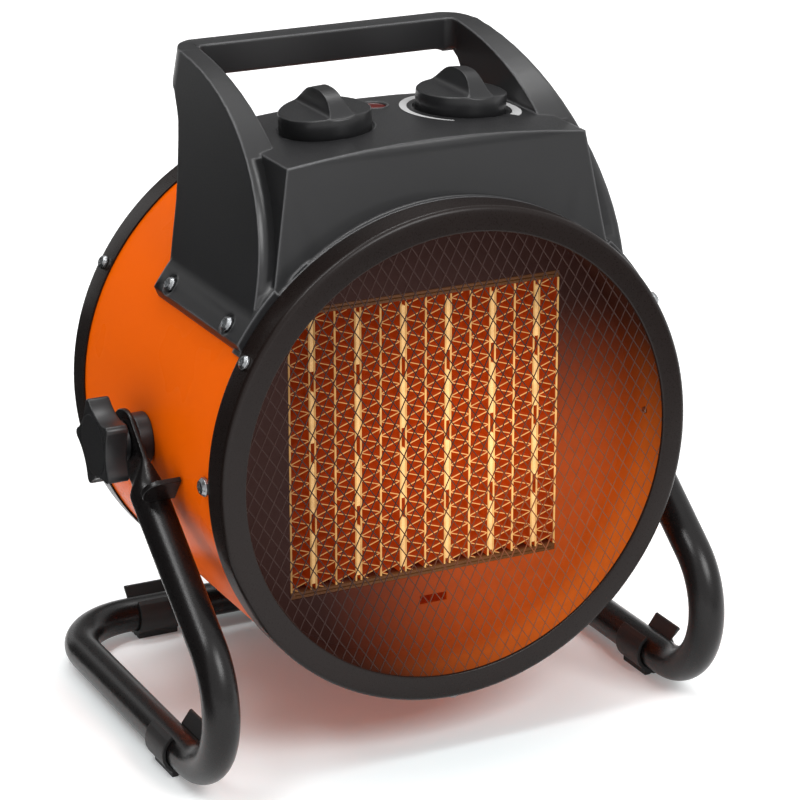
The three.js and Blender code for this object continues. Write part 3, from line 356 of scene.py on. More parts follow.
def painted_glow_finish(name, colour, front, deep, metallic, roughness, spread=ELEMENT_GLOW, cloud=0.2):
    """A surface inside the switched-on heater with a painted glow: its emission stands in for light,
    as none of these parts is a lamp. Its glow runs from one colour at the front edges to another
    behind them. front and deep are each (colour, strength, depth in millimetres).
    Fine noise breaks up the painted glow by the cloud's share."""
    material, tree, place = new_finish(name)
    speckle = add_node(tree, "TexNoise", {"Vector": place, "Scale": per_metre(5.5), "Detail": 4.0})
    patches = {"Value": speckle, "To Min": 1.0 - cloud, "To Max": 1.0 + cloud}
    tone = add_node(tree, "MapRange", {**patches, **NOISE_SPAN})
    depth = add_node(tree, "SeparateXYZ", {"Vector": place}).outputs["Y"]
    start, stop = (front[2] + AXIS[1]) * MM, (deep[2] + AXIS[1]) * MM
    inward = {"Value": depth, "From Min": start, "From Max": stop}
    behind = add_node(tree, "MapRange", inward, interpolation_type="SMOOTHSTEP")
    colours = {"Color1": linear(front[0]), "Color2": linear(deep[0])}
    glow = add_node(tree, "MixRGB", {"Fac": behind, **colours})
    power = add_node(tree, "MapRange", {"Value": behind, "To Min": front[1], "To Max": deep[1]})
    reach = glow_falloff(tree, place, *spread)
    broken = add_node(tree, "Math", {0: tone, 1: reach}, operation="MULTIPLY")
    lit = add_node(tree, "Math", {0: broken, 1: power}, operation="MULTIPLY")
    surface = add_node(
        tree,
        "BsdfPrincipled",
        {
            "Base Color": linear(colour),
            "Roughness": roughness,
            "Metallic": metallic,
            "Specular IOR Level": 0.2,
            "Emission Color": glow,
            "Emission Strength": lit,
        },
    )
    add_node(tree, "OutputMaterial", {"Surface": surface})
    return material


def lamp_lens(colour):
    """Deep red polycarbonate lens over a weakly lit lamp: glossy and dark."""
    material, tree, place = new_finish("lamp_lens")
    speckle = add_node(tree, "TexNoise", {"Vector": place, "Scale": per_metre(1.5)})
    lit = add_node(tree, "MapRange", {"Value": speckle, "To Min": 0.01, "To Max": 0.03, **NOISE_SPAN})
    lens = add_node(
        tree,
        "BsdfPrincipled",
        {
            "Base Color": (*colour, 1.0),
            "Roughness": 0.12,
            "IOR": 1.58,
            "Emission Color": linear("#ff3a1a"),
            "Emission Strength": lit,
        },
    )
    add_node(tree, "OutputMaterial", {"Surface": lens})
    return material


def printed_ink(colour):
    """White pad-printed ink: thin, even and slightly glossy, with a faint pinhole speckle."""
    material, tree, place = new_finish("printed_ink")
    speckle = add_node(tree, "TexNoise", {"Vector": place, "Scale": per_metre(0.5)})
    tone = add_node(tree, "MapRange", {"Value": speckle, "To Min": 0.9, "To Max": 1.05, **NOISE_SPAN})
    shade = add_node(tree, "HueSaturation", {"Color": (*colour, 1.0), "Value": tone})
    ink = add_node(tree, "BsdfPrincipled", {"Base Color": shade, "Roughness": 0.45})
    add_node(tree, "OutputMaterial", {"Surface": ink})
    return material


# Stand
def stand_path(sizes):
    """Left half of the stand's tube, from the flattened eye to the middle of the cross tube.
    Straight runs join two arcs: the front bend in the side plane, the rear corner in plan.
    Returns each station's centre, its across and up directions, and its distance from the pivot."""
    slope = math.radians(sizes["upright_angle"])
    down = np.array([0, -math.cos(slope), -math.sin(slope)])
    side = -sizes["half_width"]
    corner_radius = sizes["corner_radius"]
    shift = sizes["eye_shift"]
    tip = -shift - sizes["eye_half_width"] * np.cos(np.linspace(0, np.pi / 2, 14))
    taper = np.linspace(-shift, sizes["taper_end"], 40)[1:]
    upright = np.concatenate([tip, taper])[:, None] * down
    bend = arc(sizes["bend_centre"], sizes["bend_radius"], 90 + sizes["upright_angle"], 270, 40)
    bend = np.column_stack([np.zeros(len(bend)), bend])
    lead = [0.0, sizes["corner_start"], bend[-1, 2]]
    rail = np.vstack([upright, bend, lead])
    rail[:, 0] += side
    corner = arc((side + corner_radius, sizes["corner_start"]), corner_radius, 180, 90, 26)[1:]
    corner = np.column_stack([corner, np.full(len(corner), bend[-1, 2])])
    middle = [0.0, corner[-1, 1], corner[-1, 2]]
    centres = np.vstack([rail, corner, middle])
    along = np.gradient(centres, axis=0)
    along[: len(upright)] = down
    along[-1] = (1, 0, 0)
    along /= np.linalg.norm(along, axis=1)[:, None]
    across = np.tile([1.0, 0, 0], (len(centres), 1))
    up = np.cross(across, along)
    turning = len(rail)
    up[turning:] = (0, 0, 1)
    across[turning:] = np.cross(along[turning:], up[turning:])
    reach = np.concatenate([tip, taper, np.full(len(centres) - len(upright), 1e3)])
    return centres, across, up, reach


def stand_tube_surface(sizes):
    """Tube whose section changes from a flat rounded plate at the eye to a circle.
    A section point is (a |cos t|^p sign cos t, b |sin t|^p sign sin t): p = 1 gives a circle,
    and a small p a plate. a, b and p follow the distance from the pivot with a smooth step."""
    centres, across, up, reach = stand_path(sizes)
    turn = np.linspace(0, 2 * np.pi, 48, endpoint=False)
    blend = smoothstep((reach - sizes["taper_start"]) / (sizes["taper_end"] - sizes["taper_start"]))
    radius = sizes["tube_radius"]
    half_sheet = sizes["eye_sheet"] / 2
    eye = sizes["eye_half_width"]
    past = reach + sizes["eye_shift"]
    chord = eye * np.sqrt(np.clip(1 - np.clip(-past / eye, 0, 1) ** 2, 0, 1))
    narrowing = np.clip(past / (sizes["taper_start"] + sizes["eye_shift"]), 0, 1)
    plate = chord + (sizes["eye_foot"] - eye) * narrowing
    a = (half_sheet + (radius - half_sheet) * blend)[:, None]
    b = (plate + (radius - plate) * blend)[:, None]
    power = (sizes["eye_power"] + (1 - sizes["eye_power"]) * blend)[:, None]
    u = a * np.abs(np.cos(turn)) ** power * np.sign(np.cos(turn))
    v = b * np.abs(np.sin(turn)) ** power * np.sign(np.sin(turn))
    left = centres[:, None] + u[..., None] * across[:, None] + v[..., None] * up[:, None]
    right = left[::-1][1:] * (-1, 1, 1)
    return tube_surface(np.concatenate([left, right]))


# The stand's sizes in millimetres and degrees, placed from the drum's axis
STAND = {
    "half_width": 127.7,
    "upright_angle": 37.6,
    "bend_radius": 37.05,
    "bend_centre": (-67.7, -98.5),
    "corner_radius": 36.2,
    "corner_start": 65.0,
    "tube_radius": 8.7,
    "eye_half_width": 13.7,
    "eye_shift": 1.5,
    "eye_foot": 12.4,
    "eye_sheet": 3.0,
    "eye_power": 0.3,
    "taper_start": 16.0,
    "taper_end": 31.0,
}


# Drum
SHELL_RADIUS = 118.9
SHELL_SHEET = 1.2
DRUM_HALF = 92.2
SHELL_SETBACK = 3.2
RING_RADIUS = 120.0
RING_OPENING = 107.8
RING_FLANGE = 15.3
RING_SHEET = 0.8
RING_EDGE = 2.6
RING_LIP = 0.8
ROUND_STEPS = 192


def shell_profile():
    """Section through the rolled shell: a thin strip parallel to the axis."""
    half = DRUM_HALF - SHELL_SETBACK
    inner = SHELL_RADIUS - SHELL_SHEET
    return [(SHELL_RADIUS, -half), (SHELL_RADIUS, half), (inner, half), (inner, -half)]


def ring_profile(facing):
    """Section through a pressed end ring: a flange, a rounded edge and a flat face whose
    inner lip turns in. Both edges are circular arcs."""
    corner = (RING_RADIUS - RING_EDGE, DRUM_HALF - RING_EDGE)
    inside = (RING_OPENING + RING_LIP, DRUM_HALF - RING_LIP)
    outer_skin = [
        [(RING_RADIUS, DRUM_HALF - RING_FLANGE)],
        arc(corner, RING_EDGE, 0, 90, 9),
        arc(inside, RING_LIP, 90, 180, 6),
    ]
    inner_skin = [
        [(RING_OPENING, DRUM_HALF - 2 * RING_LIP)],
        [(RING_OPENING + RING_SHEET, DRUM_HALF - 2 * RING_LIP)],
        arc(corner, RING_EDGE - RING_SHEET, 90, 0, 6),
        [(RING_RADIUS - RING_SHEET, DRUM_HALF - RING_FLANGE)],
    ]
    profile = np.concatenate([np.asarray(part, float) for part in outer_skin + inner_skin])
    return profile * (1, facing)


# Front net
WIRE_STEP_A = np.array([-2.639, -5.703])
WIRE_STEP_B = np.array([3.625, -5.14])
NET_ORIGIN = np.array([-95.2, 43.17])
NET_REACH = 110.0
NET_DEPTH = -90.4
# Steps from the origin that reach past both sides of the net
NET_STEPS = 80
# Depth from the first family of wires to the second, as a share of a wire's width
NET_LAY = 0.35


def wire_family(along, step, wire, depth):
    """Parallel wires along one direction: line k passes through the origin plus k steps and
    ends on a circle of radius R, at ± sqrt(R² - q²) along it, where q is its distance from the
    centre. Each wire has a six-sided section."""
    direction = along / np.linalg.norm(along)
    normal = np.array([-direction[1], direction[0]])
    offset = NET_ORIGIN @ normal
    spacing = step @ normal
    k = np.arange(-NET_STEPS, NET_STEPS + 1)
    q = offset + k * spacing
    q = q[np.abs(q) < NET_REACH - 1]
    half = np.sqrt(NET_REACH**2 - q**2)
    turn = np.radians([30, 90, 150, 210, 270, 330])
    aside, deep = wire / 2 * np.cos(turn), wire / 2 * np.sin(turn)
    ends = np.stack([-half, half], axis=1)
    plan = ends[..., None, None] * direction + (q[:, None, None] + aside)[..., None] * normal
    y = depth + np.broadcast_to(deep, plan.shape[:-1])
    grid = np.stack([plan[..., 0], y, plan[..., 1]], axis=-1)
    return [tube_surface(one) for one in grid]


def net_surface(wire, depth):
    """Two families of straight wires that cross in narrow diamonds."""
    first = wire_family(WIRE_STEP_A, WIRE_STEP_B, wire, depth)
    second = wire_family(WIRE_STEP_B, WIRE_STEP_A, wire, depth + wire * NET_LAY)
    return together(first + second)


# Heating element
ELEMENT_FRONT = -56.0
ELEMENT_DEPTH = 15.0
ELEMENT_HALF_WIDTH = 70.3
CORE_HALF_HEIGHT = 67.5
BAR_PITCH = 23.4
BAR_WIDTH = 3.4
BAR_COUNT = 6
STONES = 4
STONE_EDGE = 0.35
# The stones reach this far into the sheets, and stay this far from the bar's front and back.
STONE_BITE = 0.05
STONE_SETBACKS = (0.3, 0.6)
SIDE_SHEET = 0.7
DIVIDER = 0.7
FOLD_PHASE = -3.9
FOLD_SHARPNESS = 0.985
FOLD_POINTS = 24
FIN_SETBACK = 0.4


def block(low, high):
    """A plain bar between two corners, as a tube of four-cornered sections."""
    x0, y0, z0 = low
    x1, y1, z1 = high
    section = np.array([(x0, y0), (x1, y0), (x1, y1), (x0, y1)])
    grid = np.stack([np.column_stack([section, np.full(4, z)]) for z in (z0, z1)])
    return tube_surface(grid)


def rounded_block(low, high, edge):
    """A bar between two corners whose sections are rounded rectangles: each section point is a
    corner's centre plus the edge radius times (cos t, sin t). The ends step in by the same arc."""
    low, high = np.array(low, float), np.array(high, float)
    middle, half = (low + high) / 2, (high - low) / 2
    turn = np.radians(np.arange(0, 360, 90)[:, None] + np.array([0, 30, 60, 90])).ravel()
    sign = np.repeat([(1, 1), (-1, 1), (-1, -1), (1, -1)], 4, axis=0)
    lift = np.radians([0, 30, 60, 90])
    sections = []
    for side in (-1, 1):
        rise = lift[::-1] if side < 0 else lift
        for angle in rise:
            reach = half[:2] - edge
            plan = sign * reach + edge * np.cos(angle) * on_circle(turn)
            z = side * (half[2] - edge + edge * np.sin(angle))
            sections.append(np.column_stack([plan, np.full(len(plan), z)]) + middle)
    return tube_surface(np.stack(sections))


def folded_sheet(x0, x1, period, sheet):
    """Fin sheet folded to and fro between x0 and x1: x follows a rounded triangle wave,
    arcsin(s cos a) over arcsin(s), with a turning once in each period. The section across the sheet
    is offset along the fold line's normal."""
    half_sheet = sheet / 2
    low, high = -CORE_HALF_HEIGHT + half_sheet, CORE_HALF_HEIGHT - half_sheet
    z = np.linspace(low, high, int((high - low) / period * FOLD_POINTS))
    phase = 2 * np.pi * (z - FOLD_PHASE) / period
    wave = np.arcsin(FOLD_SHARPNESS * np.cos(phase)) / np.arcsin(FOLD_SHARPNESS)
    reach = (x1 - x0) / 2 - half_sheet
    x = (x0 + x1) / 2 - reach * wave
    along = np.gradient(np.column_stack([x, z]), axis=0)
    along /= np.linalg.norm(along, axis=1)[:, None]
    normal = np.column_stack([along[:, 1], -along[:, 0]]) * half_sheet
    right, left = np.column_stack([x, z]) + normal, np.column_stack([x, z]) - normal
    front, back = ELEMENT_FRONT + FIN_SETBACK, ELEMENT_FRONT + ELEMENT_DEPTH
    corners = [(right, front), (right, back), (left, back), (left, front)]
    columns = [np.column_stack([p[:, 0], np.full(len(p), y), p[:, 1]]) for p, y in corners]
    return tube_surface(np.stack(columns, axis=1))


def bar_x(index):
    """Middle of a heating bar, counted from the left."""
    return (index - (BAR_COUNT - 1) / 2) * BAR_PITCH


def divider_sheet(x):
    """The thin upright sheet between two columns of fins."""
    back = ELEMENT_FRONT + ELEMENT_DEPTH
    low = (x - DIVIDER / 2, ELEMENT_FRONT, -CORE_HALF_HEIGHT)
    return block(low, (x + DIVIDER / 2, back, CORE_HALF_HEIGHT))


def fin_pack_surface(index, period, sheet):
    """Folded fins on both sides of a divider between two bars, or on one side at the ends."""
    outer = ELEMENT_HALF_WIDTH - DIVIDER / 2
    clear = BAR_WIDTH / 2
    left = bar_x(index - 1) + clear if index > 0 else None
    right = bar_x(index) - clear if index < BAR_COUNT else None
    if left is None:
        middle = -outer
        sheets = [folded_sheet(-outer + DIVIDER / 2, right, period, sheet)]
    elif right is None:
        middle = outer
        sheets = [folded_sheet(left, outer - DIVIDER / 2, period, sheet)]
    else:
        middle = (left + right) / 2
        sheets = [
            folded_sheet(left, middle - DIVIDER / 2, period, sheet),
            folded_sheet(middle + DIVIDER / 2, right, period, sheet),
        ]
    return together([*sheets, divider_sheet(middle)])


def heating_bar_surfaces(index, stone_length, stone_pitch):
    """Two thin side sheets, and the ceramic stones held between them."""
    x = bar_x(index)
    half = BAR_WIDTH / 2
    back = ELEMENT_FRONT + ELEMENT_DEPTH
    sides = [
        block((left, ELEMENT_FRONT, -CORE_HALF_HEIGHT), (left + SIDE_SHEET, back, CORE_HALF_HEIGHT))
        for left in (x - half, x + half - SIDE_SHEET)
    ]
    inset = SIDE_SHEET - STONE_BITE
    front, rear = ELEMENT_FRONT + STONE_SETBACKS[0], back - STONE_SETBACKS[1]
    blocks = []
    for k in range(STONES):
        z = (k - (STONES - 1) / 2) * stone_pitch
        low = (x - half + inset, front, z - stone_length / 2)
        high = (x + half - inset, rear, z + stone_length / 2)
        blocks.append(rounded_block(low, high, STONE_EDGE))
    return together(sides), together(blocks)


# Controls
DECK_CROWN = 146.2
DECK_DROP = 4.9
DECK_HALF = 75.5
KNOB_CENTRES = {"selector_knob": (-35.5, -23.5), "thermostat_knob": (37.0, -18.0)}
KNOB_EDGE = 0.9
KNOB_FLARE = 3.9
KNOB_FOOT = 0.3
KNOB_FALL = 1.2
# The ridge's walls rise this far past its crest, and this steeply within it, so that the arch
# is the lower surface there. The two meet over the blend's width.
WALL_RISE = 2
WALL_SLOPE = 6
RIDGE_BLEND = 0.5
SCALE_ANGLES = (-123, -406)
SCALE_WIDTHS = (0.8, 4.4)
SCALE_LOW, SCALE_HIGH = 0.01, 0.06
LAMP_Y = -1.0
CLAMP_REACH = 19.2
CLAMP_TIP = 2.6
CLAMP_WAIST = 15.7
CLAMP_HUB = 129.5
CLAMP_INNER = 134.3
CLAMP_OUTER = 145.2
CLAMP_EDGE = 0.8
HUB_RADIUS = 9.5
HUB_EDGE = 0.3
# Radius and depth of the points across a clamp knob's outer face: a groove, then a slight dish.
# They stay inside the outline by the inset.
CLAMP_FACE = ((15.4, 0.0), (15.1, 0.25), (14.7, 0.25), (14.4, 0.0), (7.0, 0.15), (0.0, 0.2))
CLAMP_INSET = 0.9


def deck_height(x):
    """Height of the crowned deck: it falls with the square of the distance from the middle."""
    return DECK_CROWN - DECK_DROP * (x / DECK_HALF) ** 2


def knob_place(points, centre, turn):
    """Turns points drawn about a knob's own axis and stands them square on the crowned deck.
    The deck's slope at x is 2 drop x / half width²."""
    x, y = centre
    about_z = Matrix.Rotation(turn, 3, "Z")
    about_y = Matrix.Rotation(math.atan(2 * DECK_DROP * x / DECK_HALF**2), 3, "Y")
    return points @ np.array(about_y @ about_z).T + (x, y, deck_height(x))


def soft_lower(a, b, blend):
    """The lower of a and b, rounded where they cross: (a + b - sqrt((a - b)² + w²)) / 2."""
    return (a + b - np.sqrt((a - b) ** 2 + blend**2)) / 2


def knob_top(u, v, radius, height, rim, grip):
    """Height of a knob's top. Along the ridge it is an arch, rim + rise (1 - |v/R|^2.7)^1.5.
    Across it, each side drops from the ridge's edge as a quarter ellipse to a nearly flat
    floor. The lower of the two is the surface, with a soft edge where they meet."""
    along = np.clip(np.abs(v) / radius, 0, 1)
    foot = rim + KNOB_FOOT
    arch = foot + (height - foot) * (1 - along**2.7) ** 1.5
    past = np.clip((np.abs(u) - grip) / KNOB_FLARE, 0, 1)
    outward = np.clip((np.abs(u) - grip - KNOB_FLARE) / (radius - grip - KNOB_FLARE), 0, 1)
    floor = rim + KNOB_FALL * (1 - outward)
    scoop = floor + (height + WALL_RISE - floor) * (1 - np.sqrt(1 - (1 - past) ** 2))
    inside = np.clip(grip - np.abs(u), 0, None)
    return soft_lower(arch, scoop + WALL_SLOPE * inside, RIDGE_BLEND)


def knob_surface(radius, height, rim, grip):
    """Knob of disc base and finger ridge. In plan the top's points lie at (u, t sqrt(R² - u²)),
    u spaced more closely at the ridge's edges, t from -1 to 1. The side wall is a ring of rows
    below the top's outline, rounded by an arc at its upper edge, and closes under the base."""
    inner = radius - KNOB_EDGE
    edge = np.linspace(0, 1, 26) ** 1.6
    side = grip + (inner - grip) * edge
    ridge = grip * np.sin(np.linspace(-np.pi / 2, np.pi / 2, 25))[1:-1]
    u = np.concatenate([-side[::-1], ridge, side])
    t = np.sin(np.linspace(-np.pi / 2, np.pi / 2, 81))
    reach = np.sqrt(np.clip(inner**2 - u**2, 0, None))
    uu = np.repeat(u[:, None], len(t), axis=1)
    vv = reach[:, None] * t
    top = np.stack([uu, vv, knob_top(uu, vv, radius, height, rim, grip)], axis=-1)
    rows, columns, _ = top.shape
    surfaces = [(top.reshape(-1, 3), grid_faces(rows, columns, close_columns=False).tolist())]
    outline = np.concatenate([top[:, 0], top[:, -1][::-1]])
    rings = [outline]
    circle = on_circle(np.arctan2(outline[:, 1], outline[:, 0]))
    for lift in np.radians([30, 60, 90]):
        ring = outline.copy()
        ring[:, :2] = circle * (inner + KNOB_EDGE * np.sin(lift))
        ring[:, 2] = outline[:, 2] - KNOB_EDGE * (1 - np.cos(lift))
        rings.append(ring)
    for r, z in ((radius, -1.0), (radius - 0.2, -1.2), (0.0, -1.2)):
        rings.append(np.column_stack([circle * r, np.full(len(circle), z)]))
    surfaces.append(tube_surface(np.stack(rings), capped=False))
    return together(surfaces)


def clamp_outline(reach, tip, waist, lobes, steps):
    """Outline of a lobed knob. Each lobe's tip is an arc of radius t about a centre at distance
    a, and each hollow side an arc of radius s whose centre lies at w + s halfway between two
    lobes, where s makes the two arcs touch:
    s = (a² + w² - 2 a w cos h - t²) / (2 a cos h + 2 t - 2 w), with h half the lobe's angle."""
    half = math.pi / lobes
    across = 2 * reach * math.cos(half)
    side = (reach**2 + waist**2 - across * waist - tip**2) / (across + 2 * tip - 2 * waist)
    opening = math.asin(reach * math.sin(half) / (side + tip))
    points = []
    for lobe in range(lobes):
        along = 2 * half * lobe
        turn = along + np.linspace(-1, 1, steps) * (half + opening)
        points.append(reach * on_circle(along) + tip * on_circle(turn))
        between = along + half
        turn = between + math.pi + np.linspace(1, -1, steps)[1:-1] * opening
        points.append((waist + side) * on_circle(between) + side * on_circle(turn))
    return np.concatenate(points)


def clamp_knob_surface(side):
    """Lobed clamp knob: its outline shrinks by an arc at the edges of both faces. A shallow round
    groove marks the outer face, and a plain hub stands on the inner one."""
    outline = clamp_outline(CLAMP_REACH, CLAMP_TIP, CLAMP_WAIST, 5, 12)
    size = np.linalg.norm(outline, axis=1)[:, None]
    unit = outline / size
    turn = np.radians([0, 30, 60, 90])
    edge = [(CLAMP_EDGE * (1 - np.sin(a)), size - CLAMP_EDGE * (1 - np.cos(a))) for a in turn]
    rows = [(CLAMP_INNER + drop, r) for drop, r in edge[::-1]]
    rows += [(CLAMP_OUTER - drop, r) for drop, r in edge]
    within = size - CLAMP_INSET
    rows += [(CLAMP_OUTER - drop, np.minimum(r, within)) for r, drop in CLAMP_FACE]
    hub_face = [(CLAMP_HUB, 0.0), (CLAMP_HUB, HUB_RADIUS - HUB_EDGE)]
    inner = [*hub_face, (CLAMP_HUB + HUB_EDGE, HUB_RADIUS), (CLAMP_INNER, HUB_RADIUS)]
    rows = [(x, r * np.ones_like(size)) for x, r in inner] + rows
    grid = np.stack(
        [np.column_stack([np.full(len(unit), side * x), unit * r]) for x, r in rows]
    )
    return tube_surface(grid, capped=False)


def scale_arc_surface(centre, radius, start, stop, thin, thick):
    """Printed scale round a knob: a band on the deck whose outer edge is one circle. Its width
    grows from thin to thick as 1 - (1 - t)^4. Its skin closes just above the deck."""
    t = np.linspace(0, 1, 120)
    angle = np.radians(start + (stop - start) * t)
    width = thin + (thick - thin) * (1 - (1 - t) ** 4)
    rows = []
    inner = radius - width
    low, high = SCALE_LOW, SCALE_HIGH
    for r, lift in ((radius, low), (radius, high), (inner, high), (inner, low)):
        px, py = centre[0] + r * np.cos(angle), centre[1] + r * np.sin(angle)
        rows.append(np.stack([px, py, deck_height(px) + lift], axis=1))
    return tube_surface(np.stack(rows, axis=1))


def lamp_ring_surface():
    """Low ring round the lamp: a small profile turned about an upright axis."""
    profile = np.array([(6.1, -1.0), (6.1, 0.1), (6.4, 0.3), (7.0, 0.3), (7.3, 0.1), (7.3, -0.4)])
    angle = np.linspace(0, 2 * np.pi, 48, endpoint=False)[:, None]
    r, z = profile.T
    x, y = r * np.cos(angle), LAMP_Y + r * np.sin(angle)
    grid = np.stack([x, y, deck_height(x) + z], axis=-1)
    return grid.reshape(-1, 3), grid_faces(*grid.shape[:2], close_rows=True).tolist()


# Sizes and colours that a user would change
def length_property(label, description, metres):
    """A length property with its default in metres."""
    return bpy.props.FloatProperty(
        name=label, description=description, default=metres, unit="LENGTH"
    )


class HeaterSizes(bpy.types.PropertyGroup):
    """Sizes of the pieces that are finer here than in the solids"""

    net_wire: length_property("Net wire", "Width of one wire of the front net", 0.00056)
    fin_period: length_property("Fin pitch", "Height of one fold of the fins", 0.00691)
    fin_sheet: length_property("Fin sheet", "Thickness of the fin sheet", 0.00038)
    stone_length: length_property("Stone length", "Height of one ceramic stone", 0.025)
    stone_pitch: length_property("Stone pitch", "Height from stone to stone", 0.035)
    knob_radius: length_property("Knob radius", "Radius of a turning knob", 0.0215)
    knob_height: length_property("Knob height", "Height of a knob's ridge above the deck", 0.0188)
    knob_rim: length_property("Knob rim", "Height of a knob's round base", 0.0082)
    knob_grip: length_property("Knob ridge", "Half the width of a knob's ridge", 0.0036)
    knob_turn: bpy.props.FloatProperty(
        name="Knob turn", description="Turn of both knobs at rest", default=0.0, subtype="ANGLE"
    )
    scale_radius: length_property("Scale radius", "Outer radius of the printed scale", 0.0288)


def colour_property(label, description, hex_text):
    """A colour property whose default is an sRGB hex value."""
    return bpy.props.FloatVectorProperty(
        name=label,
        description=description,
        default=linear(hex_text)[:3],
        subtype="COLOR",
        size=3,
        min=0,
        max=1,
    )


class HeaterColours(bpy.types.PropertyGroup):
    """Base colours of the finishes"""

    shell: colour_property("Shell", "Powder coat of the drum's shell", "#f06203")
    # The coat is black; its warm brown cast is painted glow from the element.
    coat: colour_property("Black coat", "Powder coat of the rings and the grille", "#18110f")
    tube: colour_property("Tube", "Powder coat of the stand's tube and stop tabs", "#121010")
    plastic: colour_property("Black plastic", "Moulded housing and knobs", "#1f1f20")
    rubber: colour_property("Rubber", "Clips and gland", "#1d1c1c")
    steel: colour_property("Steel", "Zinc-plated screws and studs", "#96989a")
    lens: colour_property("Lamp", "Lens of the lamp", "#4c0c08")
    ink: colour_property("Ink", "Printed scale", "#b8b8b8")


# Each painted-glow finish's name, base colour, glow in front and behind, metal share, roughness, and
#  where it needs them the glow's reach and the share of fine noise. The glow is painted light, and the
#  warm brown base colours carry its painted tint as well.
PAINTED_GLOW_FINISHES = {
    "fins": (
        "hot_aluminium_fins", "#4a2418", ("#ffc878", 1.15, -55.8), ("#e0480c", 0.5, -54.9), 0.2, 0.55
    ),
    "rails": (
        "hot_aluminium_rails", "#4a2e20", ("#e89a50", 0.16, -56.0), ("#8a2408", 0.1, -52.0), 0.3, 0.5
    ),
    "bars": ("hot_bar_sheet", "#4c2a1a", ("#ffc878", 1.1, -56.0), ("#e0480c", 0.5, -55.2), 0.2, 0.55),
    "stones": (
        "hot_ceramic_stones", "#a07c54", ("#ffcf88", 1.0, -55.7), ("#f07820", 0.6, -52.0), 0.0, 0.7
    ),
    "inside": (
        "glowing_dark_sheet", "#261310", ("#e2661a", 0.62, -78.0), ("#d8560f", 0.56, -60.0), 0.1, 0.6,
        DUCT_GLOW, 0.06
    ),
    "net": (
        "warm_net_wire", "#32221f", ("#e47a3a", 0.3, -92.0), ("#e47a3a", 0.3, -80.0), 0.2, 0.5,
        DUCT_GLOW
    ),
}
FINISHES = {}


def make_finishes(colours):
    """Every finish of the heater, by its short name."""
    FINISHES.update(
        orange=orange_powder_coat(colours.shell),
        coat=satin_black_coat(colours.coat),
        tube=gloss_black_tube(colours.tube),
        plastic=moulded_black_abs(colours.plastic),
        knob=moulded_black_knob(colours.plastic),
        rubber=moulded_rubber(colours.rubber),
        steel=zinc_plated_steel(colours.steel),
        **{short: painted_glow_finish(*values) for short, values in PAINTED_GLOW_FINISHES.items()},
        lens=lamp_lens(colours.lens),
        ink=printed_ink(colours.ink),
    )


# The CAD nodes that stay as they are, under their finish and material slot
KEPT_NODES = {
    ("steel", "steel"): (
        "fan_motor", "motor_bracket", "thermal_cutout", "pivot_stud_left", "pivot_stud_right"
    ),
    ("plastic", "black_plastic"): ("fan", "terminal_block", "selector_switch", "thermostat"),
    ("rails", "aluminium"): ("element_rail_top", "element_rail_bottom"),
}


class HEATER_OT_finishes(bpy.types.Operator):
    """Makes the finishes and gives them to the nodes that keep their own mesh"""

    bl_idname = "heater.finishes"
    bl_label = "Finishes"

    def execute(self, context):
        make_finishes(context.scene.heater_colours)
        for (finish, slot), names in KEPT_NODES.items():
            for node in (frame["nodes"][name] for name in names):
                node.data.materials.clear()
                node.data.materials.append(FINISHES[finish])
        return {"FINISHED"}


class HEATER_OT_stand(bpy.types.Operator):
    """Builds the bent tube with its flattened eyes, the clips and the stop tabs"""

    bl_idname = "heater.stand"
    bl_label = "Stand"

    def execute(self, context):
        tube = stand_tube_surface(STAND)
        mesh_piece("stand_bent_tube", tube, FINISHES["tube"], "stand", ["stand_tube"], 60)
        for place in ("front_left", "front_right", "rear_left", "rear_right"):
            node = f"foot_clip_{place}"
            merged_copy(node, f"clip_{place}", FINISHES["rubber"], round_edge=0.3)
        black = FINISHES["tube"]
        for side in ("left", "right"):
            merged_copy(f"stop_tab_{side}", f"tilt_stop_{side}", black, round_edge=0.4)
        return {"FINISHED"}


class HEATER_OT_drum(bpy.types.Operator):
    """Builds the rolled shell and the two pressed end rings, with their screws and inner sheets"""

    bl_idname = "heater.drum"
    bl_label = "Drum"

    def execute(self, context):
        shell = revolved(shell_profile(), ROUND_STEPS)
        mesh_piece("rolled_shell", shell, FINISHES["orange"], "heater", ["drum_shell"])
        for name, facing in (("front", -1), ("rear", 1)):
            ring = revolved(ring_profile(facing), ROUND_STEPS)
            node = f"{name}_bezel"
            mesh_piece(f"pressed_ring_{name}", ring, FINISHES["coat"], "heater", [node])
        merged_copy("rear_grille", "pressed_rear_grille", FINISHES["coat"])
        merged_copy("inner_duct", "air_duct", FINISHES["inside"])
        merged_copy("baffle_plate", "air_baffle", FINISHES["inside"])
        places = [f"{ring}_screw_{i}" for ring in ("bezel", "rear_ring") for i in (1, 2, 3)]
        places += ["duct_screw_left", "duct_screw_right"]
        for node in places:
            merged_copy(node, f"{node}_head", FINISHES["steel"], round_edge=0.15)
        return {"FINISHED"}


class HEATER_OT_net(bpy.types.Operator):
    """Builds the diamond net of crossing wires behind the front ring"""

    bl_idname = "heater.net"
    bl_label = "Front net"

    def execute(self, context):
        sizes = context.scene.heater_sizes
        net = net_surface(sizes.net_wire / MM, NET_DEPTH)
        mesh_piece("diamond_net", net, FINISHES["net"], "heater", ["front_net"])
        return {"FINISHED"}


